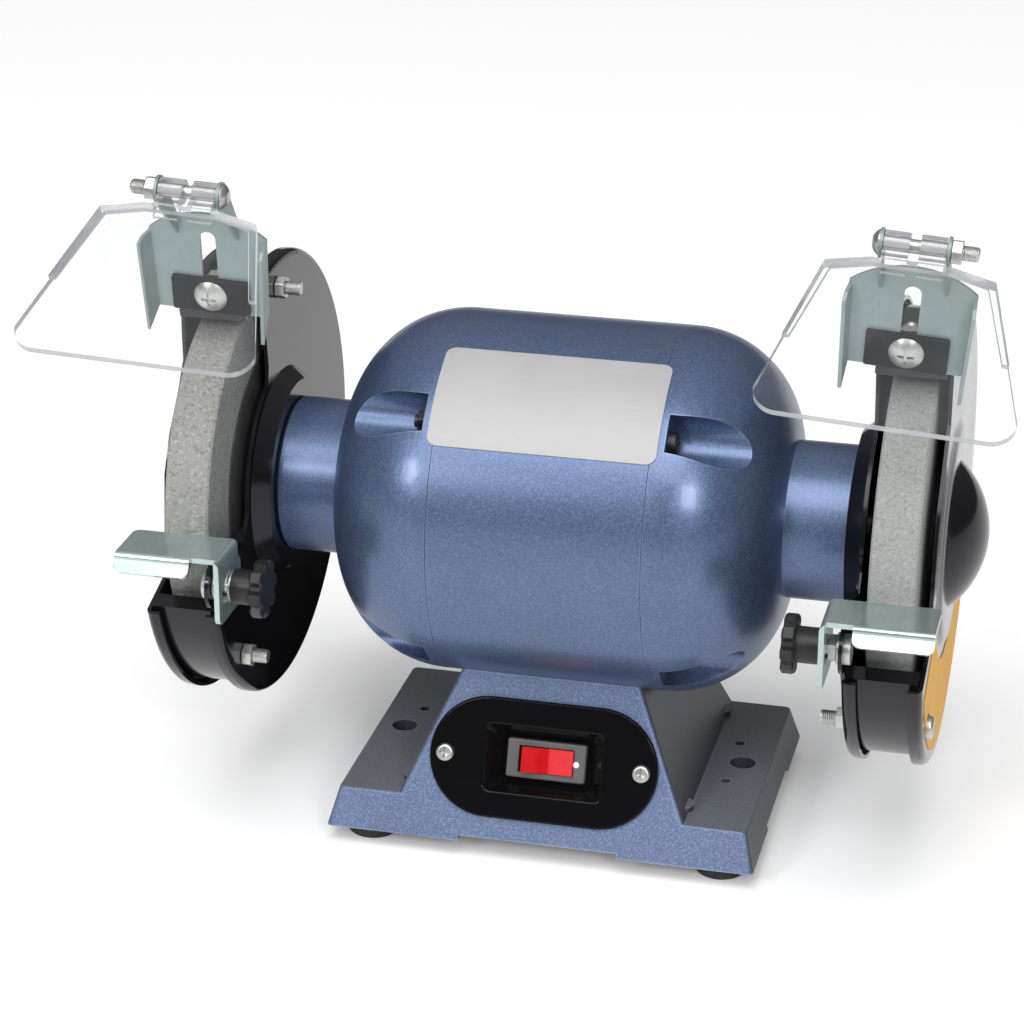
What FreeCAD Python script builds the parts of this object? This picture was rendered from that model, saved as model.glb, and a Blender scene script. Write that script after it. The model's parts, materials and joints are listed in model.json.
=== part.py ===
import FreeCAD, Part
import os
import math
import Sketcher
from FreeCAD import Vector, Rotation, Placement

# Bench grinder with two 150 mm wheels.
# Frame: +X along the shaft to the right, +Y away from the user, +Z up.
# z = 0 is the bench under the rubber feet, x = 0 is the middle of the motor.

os.makedirs("parts", exist_ok=True)
doc = FreeCAD.newDocument("bench_grinder")
sheet = doc.addObject("Spreadsheet::Sheet", "dims")

# ---------------------------------------------------------------- driving sizes
DIMS = [
    ("axis_y", 25.5, "shaft axis, depth from the origin"),
    ("axis_z", 133.6, "shaft axis above the bench"),
    # base
    ("base_under", 7.5, "underside of the casting"),
    ("pad_top", 22.8, "top of the bench pads"),
    ("plinth_half", 86.2, "half width at the underside"),
    ("plinth_half_top", 82.2, "half width at the pad top"),
    ("ped_half_low", 64.3, "pedestal half width at the underside"),
    ("ped_half_high", 25.6, "pedestal half width at the loft top"),
    ("ped_high", 95.0, "loft top, inside the motor"),
    ("front_foot", -63.15, "front plane where z is 0"),
    ("back_foot", 67.8, "back plane where z is 0"),
    ("lean", 0.37, "lean of front and back per height"),
    ("base_wall", 4.5, "casting wall"),
    ("hole_x", 71.1, "bench hole from the middle"),
    ("hole_y", 3.7, "bench hole behind the axis"),
    ("hole_rad", 5.25, "bench hole radius"),
    ("foot_x", 71.0, "rubber foot from the middle"),
    ("foot_front", -44.0, "front feet"),
    ("foot_back", 49.0, "back feet"),
    ("foot_rad", 11.0, "rubber foot radius"),
    # switch
    ("sw_z", 40.2, "switch plate centre height"),
    ("plate_len", 92.0, "switch plate length"),
    ("plate_wide", 48.0, "switch plate width"),
    ("dish_len", 48.0, "dish length"),
    ("dish_wide", 27.5, "dish width"),
    ("rock_len", 20.5, "rocker length"),
    ("rock_wide", 10.0, "rocker width"),
    # motor
    ("motor_rad", 72.0, "motor shell radius"),
    ("shell_half", 41.5, "half length of the shell"),
    ("bell_flat", 44.0, "where the end bell starts to round"),
    ("neck_rad", 31.0, "neck radius"),
    ("neck_end", 113.2, "end of the neck"),
    ("bolt_pitch", 62.5, "tie bolt radius from the axis"),
    ("pocket_pitch", 66.5, "bolt pocket radius from the axis"),
    ("pocket_rad", 9.2, "bolt pocket radius"),
    ("pocket_floor", 46.5, "bolt pocket floor"),
    ("bearing_rad", 17.5, "bearing outside radius"),
    ("bearing_bore", 7.5, "bearing bore radius"),
    ("bearing_in", 100.0, "bearing inner end"),
    ("bearing_out", 111.0, "bearing outer end"),
    ("stack_half", 27.0, "half length of the laminations"),
    ("gap_rad", 33.0, "rotor radius"),
    # wheels
    ("wheel_rad", 75.0, "wheel radius"),
    ("wheel_in", 126.5, "wheel inner face"),
    ("wheel_out", 144.0, "wheel outer face"),
    ("blot", 0.8, "blotter thickness"),
    ("blot_rad", 50.0, "blotter radius"),
    ("flange_rad", 25.0, "inner flange radius"),
    ("spindle_rad", 6.35, "spindle radius"),
    ("spindle_end", 158.5, "spindle end"),
    # guards
    ("guard_rad", 90.0, "guard rim radius"),
    ("guard_in", 119.5, "guard inner plate, motor side"),
    ("guard_out", 149.5, "cover outside face"),
    ("sheet_t", 1.5, "guard sheet"),
    ("band_rad", 86.5, "band radius"),
    ("dome_tip", 164.0, "dome tip"),
    ("dome_rad", 38.0, "dome ball radius"),
    ("mid_x", 134.5, "middle of the guard"),
    ("cscrew_pitch", 80.0, "cover screws from the axis"),
    # arrester, bracket, shield
    ("tab_lean", 15.0, "lean of the arrester tab towards the user, degrees"),
    ("turn_right", 4.2, "right bracket turned about its screw, degrees"),
    ("turn_left", 2.9, "left bracket turned about its screw, degrees"),
    ("tab_y", -41.0, "front of the arrester tab at the screw"),
    ("scr_x", 132.7, "arrester screw from the middle"),
    ("scr_z", 88.3, "arrester screw above the axis"),
    # the sizes below are taken before the lean, round the arrester screw
    ("arr_len", 30.6, "arrester length"),
    ("arr_low", 80.8, "arrester lower edge"),
    ("arr_high", 95.8, "arrester upper edge"),
    ("web_half", 23.2, "bracket half width at the shoulder"),
    ("web_half_low", 22.0, "bracket half width at the lower edge"),
    ("web_low", 80.3, "bracket web lower edge"),
    ("web_shoulder", 115.4, "bracket web shoulder"),
    ("web_crown", 124.2, "bracket web crown"),
    ("slot_high", 116.3, "bracket slot upper end"),
    ("hinge_x", 132.7, "middle of the shield hinge"),
    ("hinge_y", -57.5, "shield hinge, depth"),
    ("hinge_z", 142.9, "shield hinge above the axis"),
    ("pin_rad", 2.5, "hinge bolt radius"),
    ("pane_len", 80.5, "shield length from the hinge"),
    ("pane_top", 29.8, "shield half width at the top"),
    ("pane_low", 44.6, "shield half width at the bottom"),
    ("pane_t", 2.6, "shield thickness"),
    # tool rests
    ("rest_top", 3.0, "rest top above the axis"),
    ("rest_t", 2.0, "rest sheet"),
    ("rest_back", -78.6, "rest edge at the wheel"),
    ("rest_front", -100.0, "rest fold line"),
    ("rest_out", 154.5, "rest outer end"),
    ("tab_in", 113.0, "rest tab, motor side"),
    ("stud_y", -88.0, "rest stud, depth"),
    ("stud_z", -12.3, "rest stud above the axis"),
    ("stud_rad", 3.0, "rest stud radius"),
    ("knob_rad", 11.3, "knob lobes"),
]
vals = {}
for i, (alias, value, note) in enumerate(DIMS):
    sheet.set("A%d" % (i + 1), note)
    sheet.set("B%d" % (i + 1), str(value))
    sheet.setAlias("B%d" % (i + 1), alias)
    vals[alias] = value
doc.recompute()


class E:
    """A size: its value and the sheet expression it is bound to."""

    def __init__(self, v, s):
        self.v = float(v)
        self.s = s

    def _two(self, other, op, v, flip=False):
        t = other.s if isinstance(other, E) else "(%.6f)" % float(other)
        a, b = (t, self.s) if flip else (self.s, t)
        return E(v, "(%s %s %s)" % (a, op, b))

    def __add__(self, o):
        return self._two(o, "+", self.v + num(o))

    def __radd__(self, o):
        return self._two(o, "+", num(o) + self.v, True)

    def __sub__(self, o):
        return self._two(o, "-", self.v - num(o))

    def __rsub__(self, o):
        return self._two(o, "-", num(o) - self.v, True)

    def __mul__(self, o):
        return self._two(o, "*", self.v * num(o))

    def __rmul__(self, o):
        return self._two(o, "*", num(o) * self.v, True)

    def __truediv__(self, o):
        return self._two(o, "/", self.v / num(o))

    def __neg__(self):
        return E(-self.v, "(0 - %s)" % self.s)


def num(e):
    return e.v if isinstance(e, E) else float(e)


def D(k):
    return E(vals[k], "dims." + k)


AY = D("axis_y")
AZ = D("axis_z")


def S(x, y, z):
    """Point given from the shaft axis."""
    return (x, AY + y, AZ + z)


def B(x, y, z):
    """Point given from the bench, below the shaft axis."""
    return (x, AY + y, z)


def bind(o, prop, e):
    setattr(o, prop, num(e))
    if isinstance(e, E):
        o.setExpression(prop, e.s)


def put(o, pos, rot=None):
    o.Placement = Placement(Vector(num(pos[0]), num(pos[1]), num(pos[2])), rot or Rotation())
    for ax, p in zip("xyz", pos):
        if isinstance(p, E):
            o.setExpression("Placement.Base." + ax, p.s)


TO_X = Rotation(Vector(0, 1, 0), 90)
TO_Y = Rotation(Vector(1, 0, 0), -90)
TO_Z = Rotation()
count = [0]


def fresh(kind, name):
    count[0] += 1
    return doc.addObject(kind, "%s_%d" % (name, count[0]))


def cyl(name, r, h, pos, rot=TO_X, angle=None):
    o = fresh("Part::Cylinder", name)
    bind(o, "Radius", r)
    bind(o, "Height", h)
    if angle is not None:
        bind(o, "Angle", angle)
    put(o, pos, rot)
    return o


def fixed(o, place):
    """Free placement, worked out from the sheet values."""
    for ax in "xyz":
        o.setExpression("Placement.Base." + ax, None)
    o.Placement = place


def hexa(name, r, h, pos, rot=TO_X):
    o = fresh("Part::Prism", name)
    o.Polygon = 6
    bind(o, "Circumradius", r)
    bind(o, "Height", h)
    put(o, pos, rot)
    return o


def box(name, lx, ly, lz, pos, rot=None):
    o = fresh("Part::Box", name)
    bind(o, "Length", lx)
    bind(o, "Width", ly)
    bind(o, "Height", lz)
    put(o, pos, rot)
    return o


def ball(name, r, pos):
    o = fresh("Part::Sphere", name)
    bind(o, "Radius", r)
    put(o, pos)
    return o


def torus(name, r1, r2, pos, rot=TO_X):
    o = fresh("Part::Torus", name)
    bind(o, "Radius1", r1)
    bind(o, "Radius2", r2)
    put(o, pos, rot)
    return o


def wedge(name, x0, x1, y0, y1, z0, z1, tx0, tx1, tz0, tz1, pos, rot):
    """Frustum that narrows from y0 to y1 of its own frame."""
    o = fresh("Part::Wedge", name)
    for prop, e in (("Xmin", x0), ("Xmax", x1), ("Ymin", y0), ("Ymax", y1), ("Zmin", z0), ("Zmax", z1),
                    ("X2min", tx0), ("X2max", tx1), ("Z2min", tz0), ("Z2max", tz1)):
        bind(o, prop, e)
    put(o, pos, rot)
    return o


def cut(name, a, b):
    o = fresh("Part::Cut", name)
    o.Base = a
    o.Tool = b
    return o


def cuts(name, a, tools):
    return cut(name, a, tools[0] if len(tools) == 1 else fuse(name + "_tool", tools))


def fuse(name, items):
    o = fresh("Part::MultiFuse", name)
    o.Shapes = items
    o.Refine = True
    return o


def common(name, items):
    o = fresh("Part::MultiCommon", name)
    o.Shapes = items
    return o


def group(name, items):
    o = fresh("Part::Compound", name)
    o.Links = items
    return o


def mirror(name, src):
    o = fresh("Part::Mirroring", name)
    o.Source = src
    o.Base = Vector(0, 0, 0)
    o.Normal = Vector(1, 0, 0)
    return o


def fillet(name, base, r, test):
    doc.recompute()
    picked = [(i + 1, r, r) for i, e in enumerate(base.Shape.Edges) if test(e)]
    if not picked:
        raise RuntimeError("no edge for " + name)
    o = fresh("Part::Fillet", name)
    o.Base = base
    o.Edges = picked
    doc.recompute()
    if o.Shape.isNull() or not o.Shape.isValid() or "Invalid" in o.State:
        raise RuntimeError("fillet failed: " + name)
    return o


def chamfer(name, base, r, test):
    doc.recompute()
    picked = [(i + 1, r, r) for i, e in enumerate(base.Shape.Edges) if test(e)]
    if not picked:
        raise RuntimeError("no edge for " + name)
    o = fresh("Part::Chamfer", name)
    o.Base = base
    o.Edges = picked
    doc.recompute()
    if o.Shape.isNull() or not o.Shape.isValid():
        raise RuntimeError("chamfer failed: " + name)
    return o


def ends(e):
    a = e.Vertexes[0].Point
    b = e.Vertexes[-1].Point
    return a, b


def near(e, x=None, y=None, z=None, tol=0.02):
    """Edge that lies at the given coordinates."""
    for v in e.Vertexes:
        p = v.Point
        if x is not None and abs(p.x - num(x)) > tol:
            return False
        if y is not None and abs(p.y - num(y)) > tol:
            return False
        if z is not None and abs(p.z - num(z)) > tol:
            return False
    return True


def along(e, axis):
    if e.Curve.TypeId != "Part::GeomLine":
        return False
    a, b = ends(e)
    d = (b - a)
    if d.Length < 1e-6:
        return False
    d.normalize()
    return abs(abs(d.dot(axis)) - 1) < 1e-4


X1, Y1, Z1 = Vector(1, 0, 0), Vector(0, 1, 0), Vector(0, 0, 1)


# ---------------------------------------------------------------- sketched bodies
def new_body(name, pos=(0, 0, 0), rot=None):
    count[0] += 1
    b = doc.addObject("PartDesign::Body", "%s_%d" % (name, count[0]))
    put(b, pos, rot)
    return b


def on_plane(b, role, name):
    s = b.newObject("Sketcher::SketchObject", name + "_sketch")
    for f in b.Origin.OriginFeatures:
        if f.Role == role:
            s.AttachmentSupport = (f, [""])
    s.MapMode = "FlatFace"
    return s


def loop(s, pts, arcs=None):
    """Closed outline. arcs: {index: (cx, cy, counter-clockwise)} from that point to the next."""
    arcs = arcs or {}
    n = len(pts)
    P = [Vector(num(x), num(y), 0) for x, y in pts]
    geo = []
    for i in range(n):
        a, b = P[i], P[(i + 1) % n]
        if i in arcs:
            cx, cy, ccw = arcs[i]
            c = Vector(num(cx), num(cy), 0)
            t0 = math.atan2(a.y - c.y, a.x - c.x)
            t1 = math.atan2(b.y - c.y, b.x - c.x)
            if not ccw:
                t0, t1 = t1, t0
            if t1 <= t0:
                t1 += 2 * math.pi
            g = s.addGeometry(Part.ArcOfCircle(Part.Circle(c, Vector(0, 0, 1), (a - c).Length), t0, t1))
            geo.append((g, 1, 2) if ccw else (g, 2, 1))
        else:
            geo.append((s.addGeometry(Part.LineSegment(a, b)), 1, 2))
    for i in range(n):
        g0, g1 = geo[i], geo[(i + 1) % n]
        s.addConstraint(Sketcher.Constraint("Coincident", g0[0], g0[2], g1[0], g1[1]))

    def fix(kind, g, point, val):
        k = s.addConstraint(Sketcher.Constraint(kind, -1, 1, g, point, num(val)))
        if isinstance(val, E):
            s.setExpression("Constraints[%d]" % k, val.s)

    for i, (x, y) in enumerate(pts):
        fix("DistanceX", geo[i][0], geo[i][1], x)
        fix("DistanceY", geo[i][0], geo[i][1], y)
    for i, (cx, cy, ccw) in arcs.items():
        d = P[(i + 1) % n] - P[i]
        if abs(d.y) > abs(d.x):
            fix("DistanceX", geo[i][0], 3, cx)
        else:
            fix("DistanceY", geo[i][0], 3, cy)


def ring(s, cx, cy, r):
    g = s.addGeometry(Part.Circle(Vector(num(cx), num(cy), 0), Vector(0, 0, 1), num(r)))
    for kind, val in (("DistanceX", cx), ("DistanceY", cy)):
        k = s.addConstraint(Sketcher.Constraint(kind, -1, 1, g, 3, num(val)))
        if isinstance(val, E):
            s.setExpression("Constraints[%d]" % k, val.s)
    k = s.addConstraint(Sketcher.Constraint("Radius", g, num(r)))
    if isinstance(r, E):
        s.setExpression("Constraints[%d]" % k, r.s)


def slot_loop(s, cx, cy, half, r, upright):
    """Rounded slot: half is the distance from its middle to each end centre."""
    if upright:
        loop(s, [(cx + r, cy - half), (cx + r, cy + half), (cx - r, cy + half), (cx - r, cy - half)],
             {1: (cx, cy + half, True), 3: (cx, cy - half, True)})
    else:
        loop(s, [(cx - half, cy - r), (cx + half, cy - r), (cx + half, cy + r), (cx - half, cy + r)],
             {1: (cx + half, cy, True), 3: (cx - half, cy, True)})


def round_rect(s, x0, x1, y0, y1, r):
    loop(s, [(x0 + r, y0), (x1 - r, y0), (x1, y0 + r), (x1, y1 - r), (x1 - r, y1), (x0 + r, y1), (x0, y1 - r), (x0, y0 + r)],
         {1: (x1 - r, y0 + r, True), 3: (x1 - r, y1 - r, True), 5: (x0 + r, y1 - r, True), 7: (x0 + r, y0 + r, True)})


def pad(b, s, length, back=False):
    o = b.newObject("PartDesign::Pad", "pad")
    o.Profile = s
    bind(o, "Length", length)
    o.Reversed = back
    b.Tip = o
    return o


def turned(name, pts, arcs=None, pos=None):
    """Body turned about the shaft axis. Points are (along the shaft, radius)."""
    b = new_body(name, pos or S(0, 0, 0))
    s = on_plane(b, "XY_Plane", name)
    loop(s, pts, arcs)
    o = b.newObject("PartDesign::Revolution", "turn")
    o.Profile = s
    o.ReferenceAxis = (s, ["H_Axis"])
    o.Angle = 360
    b.Tip = o
    return b


def sheet_x(name, pts, arcs, x0, t, holes=()):
    """Plate cut in the side view and t thick along X, from x0."""
    b = new_body(name, (x0, AY, AZ))
    s = on_plane(b, "YZ_Plane", name)
    loop(s, pts, arcs)
    for h in holes:
        ring(s, *h)
    pad(b, s, t)
    return b


def sheet_y(name, pts, arcs, y1, t, holes=(), slots=()):
    """Plate cut in the front view and t thick, from y1 towards the user."""
    b = new_body(name, (0, AY + y1, AZ))
    s = on_plane(b, "XZ_Plane", name)
    loop(s, pts, arcs)
    for h in holes:
        ring(s, *h)
    for q in slots:
        slot_loop(s, *q)
    pad(b, s, t)
    return b


nodes = []


def node(name, o):
    o.Label = name
    nodes.append((name, o))
    return o


def both(right_name, left_name, o):
    node(right_name, o)
    node(left_name, mirror(left_name, o))


def polar(r, deg):
    """Point at r from the shaft axis; deg is counted up from the front."""
    a = math.radians(deg)
    return (-r * math.cos(a), r * math.sin(a))


def on_pitch(pitch, deg):
    """The same, bound to a pitch radius from the sheet."""
    a = math.radians(deg)
    return (pitch * (-math.cos(a)), pitch * math.sin(a))


# ---------------------------------------------------------------- base
UP = Rotation(Vector(1, 0, 0), 90)


def front_at(z):
    return D("front_foot") + D("lean") * z


def back_at(z):
    return D("back_foot") - D("lean") * z


def frustum(name, z0, z1, hx0, hx1, inset):
    return wedge(name, -(hx0 - inset), hx0 - inset, z0, z1, -(back_at(z0) - inset), -(front_at(z0) + inset),
                 -(hx1 - inset), hx1 - inset, -(back_at(z1) - inset), -(front_at(z1) + inset), B(0, 0, 0), UP)


bu, pt, wall = D("base_under"), D("pad_top"), D("base_wall")
ph, pl = D("ped_half_high"), D("ped_half_low")
slope_x = (pl - ph) / (D("ped_high") - bu)
plinth = frustum("plinth", bu, pt, D("plinth_half"), D("plinth_half_top"), 0)
plinth = fillet("plinth_round", plinth, 2.6, lambda e: abs(ends(e)[0].z - ends(e)[1].z) > 5)
plinth = fillet("plinth_edge", plinth, 1.2, lambda e: near(e, z=pt))
pedestal = frustum("pedestal", bu, D("ped_high"), pl, ph, 0)
pedestal = fillet("pedestal_round", pedestal, 2.4, lambda e: abs(ends(e)[0].z - ends(e)[1].z) > 5)
skin = fuse("base_skin", [plinth, pedestal])
motor_room = cyl("motor_room", D("motor_rad") + 0.1, 200, S(-100, 0, 0))
roof = cyl("saddle_roof", D("motor_rad") + 5.5, 200, S(-100, 0, 0))
hollow_low = frustum("hollow_low", bu - 1, pt - 5, D("plinth_half") - 0.2, D("plinth_half_top"), wall)
hollow_high = frustum("hollow_high", bu - 1, D("ped_high"), pl, ph, wall)
hollow = cut("base_hollow", fuse("base_hollow_all", [hollow_low, hollow_high]), roof)
shell0 = cut("base_shell", cut("base_saddle", skin, motor_room), hollow)
bosses = []
for sx in (-1, 1):
    bosses.append(cyl("bench_boss", D("hole_rad") + 5.5, pt - 4 - bu, B(sx * D("hole_x"), D("hole_y"), bu), TO_Z))
    for fy in ("foot_front", "foot_back"):
        bosses.append(cyl("foot_boss", 7.0, pt - 4 - bu, B(sx * D("foot_x"), D(fy), bu), TO_Z))
    for by in (-41.0, 46.0):
        bosses.append(cyl("cover_boss", 5.0, 16.0, B(sx * 54.0, by, bu + 2.0), TO_Z))
shell1 = fuse("base_bossed", [shell0] + bosses)

lean_angle = math.degrees(math.atan2(1.0, vals["lean"]))
SLOPE = Rotation(Vector(1, 0, 0), lean_angle)
sw_c = B(0, front_at(D("sw_z")), D("sw_z"))
NV = SLOPE.multVec(Vector(0, 0, 1))
VV = SLOPE.multVec(Vector(0, 1, 0))


def slope_at(u, v, n):
    """Point on the leaning front: u to the right, v up the slope, n out of it."""
    return (u, sw_c[1] + (v * VV.y + n * NV.y), sw_c[2] + (v * VV.z + n * NV.z))


holes = []
for sx in (-1, 1):
    holes.append(cyl("bench_hole", D("hole_rad"), 40, B(sx * D("hole_x"), D("hole_y"), 0), TO_Z))
    for fy in ("foot_front", "foot_back"):
        holes.append(cyl("foot_hole", 2.05, 8.0, B(sx * D("foot_x"), D(fy), bu - 0.5), TO_Z))
    for by in (-41.0, 46.0):
        holes.append(cyl("cover_hole", 1.55, 8.0, B(sx * 54.0, by, bu + 1.5), TO_Z))
    holes.append(box("side_relief", 16.0, 52.0, 2.5, B(sx * D("plinth_half") - 8.0, -22.0, bu - 0.5)))
    holes.append(cyl("saddle_hole", 2.6, 20.0, B(sx * 20.0, 0, 50.0), TO_Z))
for hx, hy in ((67.0, 17.0), (67.0, -17.0), (-67.0, 17.0)):
    holes.append(cyl("small_hole", 2.0, 30, B(hx, D("hole_y") + hy, 10.0), TO_Z))
holes.append(box("front_relief", 64.0, 150.0, 2.5, B(-32.0, -80.0, bu - 0.5)))
holes.append(box("switch_window", D("dish_len") + 5, D("dish_wide") + 5, 20.0,
                 slope_at(-(D("dish_len") + 5) / 2, -(vals["dish_wide"] + 5) / 2, -14.0), SLOPE))
for sx in (-1, 1):
    holes.append(cyl("plate_hole", 1.6, 14.0, slope_at(sx * 39.5, 0, -12.0), SLOPE))
BACK = Rotation(Vector(1, 0, 0), -lean_angle)
gl_z = 33.0
gl_c = B(30.0, back_at(gl_z), gl_z)
GN = BACK.multVec(Vector(0, 0, 1))


def gland_at(n):
    return (gl_c[0], gl_c[1] + n * GN.y, gl_c[2] + n * GN.z)


holes.append(cyl("gland_hole", 8.05, 24.0, gland_at(-12.0), BACK))
node("base_casting", cuts("base_casting", shell1, holes))

# cable gland: collar outside, thread through the wall, lock nut inside
gland = fuse("gland_all", [
    cyl("gland_collar", 12.0, 3.0, gland_at(0.02), BACK),
    cyl("gland_thread", 8.0, 14.0, gland_at(-11.0), BACK),
    hexa("gland_nut", 12.0, 3.5, gland_at(-8.4), BACK),
    cyl("gland_cap", 9.5, 9.0, gland_at(3.0), BACK)])
gland = cut("gland_bored", gland, cyl("gland_bore", 4.0, 40.0, gland_at(-20.0), BACK))
node("cable_gland", fillet("cable_gland", gland, 1.2, lambda e: e.Curve.TypeId == "Part::GeomCircle"
                           and abs(e.Curve.Radius - 9.5) < 0.01
                           and abs((e.Curve.Center - Vector(*[num(q) for q in gland_at(12.0)])).Length) < 0.1))

# rubber feet, their screws
feet, fscrews = [], []
for sx in (-1, 1):
    for fy in ("foot_front", "foot_back"):
        fx, yy = sx * D("foot_x"), D(fy)
        b = new_body("foot", B(fx, yy, 0))
        s = on_plane(b, "XZ_Plane", "foot")
        fr = D("foot_rad")
        loop(s, [(2.3, 4.2), (5.2, 4.2), (5.2, 0), (fr - 1.6, 0), (fr - 0.8, 0.8), (fr, bu - 0.02), (2.3, bu - 0.02)])
        o = b.newObject("PartDesign::Revolution", "turn")
        o.Profile = s
        o.ReferenceAxis = (s, ["V_Axis"])
        o.Angle = 360
        b.Tip = o
        feet.append(b)
        fscrews.append(fuse("foot_screw", [
            cyl("foot_screw_head", 4.2, 2.6, B(fx, yy, 1.5), TO_Z),
            cyl("foot_screw_shank", 2.0, 10.2, B(fx, yy, 4.0), TO_Z)]))
node("rubber_feet", group("rubber_feet", feet))
node("foot_screws", group("foot_screws", fscrews))

# bottom cover
b = new_body("bottom_cover", B(0, 0, bu + 0.45))
s = on_plane(b, "XY_Plane", "bottom_cover")
round_rect(s, -59.0, 59.0, -47.0, 52.0, 4.0)
for sx in (-1, 1):
    for by in (-41.0, 46.0):
        ring(s, sx * 54.0, by, 1.8)
pad(b, s, 1.5)
node("bottom_cover", b)
cs = []
for sx in (-1, 1):
    for by in (-41.0, 46.0):
        cs.append(fuse("cover_screw", [
            cyl("bottom_screw_head", 3.0, 1.2, B(sx * 54.0, by, bu - 0.8), TO_Z),
            cyl("bottom_screw_shank", 1.5, 7.5, B(sx * 54.0, by, bu + 0.3), TO_Z)]))
node("bottom_cover_screws", group("bottom_cover_screws", cs))

# switch plate with its dish
b = new_body("switch_plate_flat", slope_at(0, 0, 0.05), SLOPE)
s = on_plane(b, "XY_Plane", "switch_plate_flat")
hl, hw = D("plate_len") / 2, D("plate_wide") / 2
slot_loop(s, 0, 0, hl - hw, hw, False)
for sx in (-1, 1):
    ring(s, sx * 39.5, 0, 1.8)
pad(b, s, 1.8)
flat = fillet("switch_plate_edge", b, 1.0, lambda e: all(
    abs(SLOPE.inverted().multVec(v.Point - Vector(*[num(q) for q in sw_c])).z - 1.85) < 0.02 for v in e.Vertexes)
    and e.Length > 20)
DISH = SLOPE.multiply(Rotation(Vector(1, 0, 0), -90))
dl, dw = D("dish_len") / 2, D("dish_wide") / 2
# frustums that narrow inwards: their own y runs into the base
tub = wedge("dish_outer", -(dl + 1.6), dl + 1.6, 0, 9.4, -(dw + 1.6), dw + 1.6,
            -(dl - 5.4), dl - 5.4, -(dw - 3.6), dw - 3.6, slope_at(0, 0, 1.0), DISH)
tub = fillet("dish_outer_round", tub, 4.0, lambda e: 9 < e.Length < 14)
room = wedge("dish_inner", -dl, dl, 0, 9.2, -dw, dw,
             -(dl - 7.0), dl - 7.0, -(dw - 5.0), dw - 5.0, slope_at(0, 0, 2.2), DISH)
room = fillet("dish_inner_round", room, 3.5, lambda e: 9 < e.Length < 14)
window = box("switch_body_window", 28.4, 13.0, 10.0, slope_at(-14.2, -6.5, -12.0), SLOPE)
node("switch_plate", cuts("switch_plate", fuse("switch_plate_all", [flat, tub]), [room, window]))
ps = []
for sx in (-1, 1):
    head = fuse("plate_screw", [
        cyl("plate_screw_head", 3.6, 1.9, slope_at(sx * 39.5, 0, 1.9), SLOPE),
        cyl("plate_screw_shank", 1.5, 10.0, slope_at(sx * 39.5, 0, -7.0), SLOPE)])
    head = fillet("plate_screw_round", head, 1.2, lambda e: e.Curve.TypeId == "Part::GeomCircle" and abs(e.Curve.Radius - 3.6) < 0.01
                  and SLOPE.inverted().multVec(e.Curve.Center - Vector(*[num(q) for q in sw_c])).z > 3.0)
    ps.append(cuts("plate_screw_cross", head, [
        box("cross_a", 4.2, 0.9, 3.0, slope_at(sx * 39.5 - 2.1, -0.45, 2.8), SLOPE),
        box("cross_b", 0.9, 4.2, 3.0, slope_at(sx * 39.5 - 0.45, -2.1, 2.8), SLOPE)]))
node("switch_plate_screws", group("switch_plate_screws", ps))

# switch housing and rocker; the dish floor is at n = -7
floor_n = -6.98
rl, rw = D("rock_len"), D("rock_wide")
bezel = new_body("switch_bezel", slope_at(0, 0, floor_n), SLOPE)
s = on_plane(bezel, "XY_Plane", "switch_bezel")
round_rect(s, -16.0, 16.0, -7.75, 7.75, 1.2)
pad(bezel, s, 2.6)
bezel_r = fillet("switch_bezel_edge", bezel, 0.8, lambda e: all(
    abs(SLOPE.inverted().multVec(v.Point - Vector(*[num(q) for q in sw_c])).z - (floor_n + 2.6)) < 0.02 for v in e.Vertexes))
hbody = box("switch_body", 28.0, 12.6, 20.0, slope_at(-14.0, -6.3, floor_n - 19.5), SLOPE)
pit = box("switch_pit", rl + 1.8, rw + 0.7, 14.0, slope_at(-(vals["rock_len"] + 1.8) / 2, -(vals["rock_wide"] + 0.7) / 2, floor_n - 9.0), SLOPE)
ALONG_V = SLOPE.multiply(Rotation(Vector(1, 0, 0), -90))
piv_n = floor_n - 1.2
pin_hole = cyl("pivot_hole", 1.25, 12.0, slope_at(0, -6.0, piv_n), ALONG_V)
term = [box("terminal", 0.8, 4.8, 8.0, slope_at(q, -2.4, floor_n - 27.0), SLOPE) for q in (-9.0, 0.0, 9.0)]
node("switch_housing", cuts("switch_housing", fuse("switch_housing_all", [bezel_r, hbody] + term), [pit, pin_hole]))
TILT = 8.0
ROCK = SLOPE.multiply(Rotation(Vector(0, 1, 0), TILT))
# own frame of this body: x along the rocker, y out of the plate, thickness down the slope
rock = new_body("rocker_key", slope_at(0, vals["rock_wide"] / 2, piv_n), ROCK.multiply(Rotation(Vector(1, 0, 0), 90)))
s = on_plane(rock, "XY_Plane", "rocker_key")
loop(s, [(-rl / 2 + 1.6, -3.2), (rl / 2 - 1.6, -3.2), (rl / 2, 0.0), (rl / 2, 6.3), (rl / 2 - 0.6, 6.6), (0, 4.7), (-rl / 2 + 0.6, 6.6), (-rl / 2, 6.3), (-rl / 2, 0.0)])
pad(rock, s, rw)
pins = cyl("pivot_pin", 1.2, 11.6, slope_at(0, -5.8, piv_n), ALONG_V)
node("switch_rocker", fuse("switch_rocker", [rock, pins]))

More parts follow.
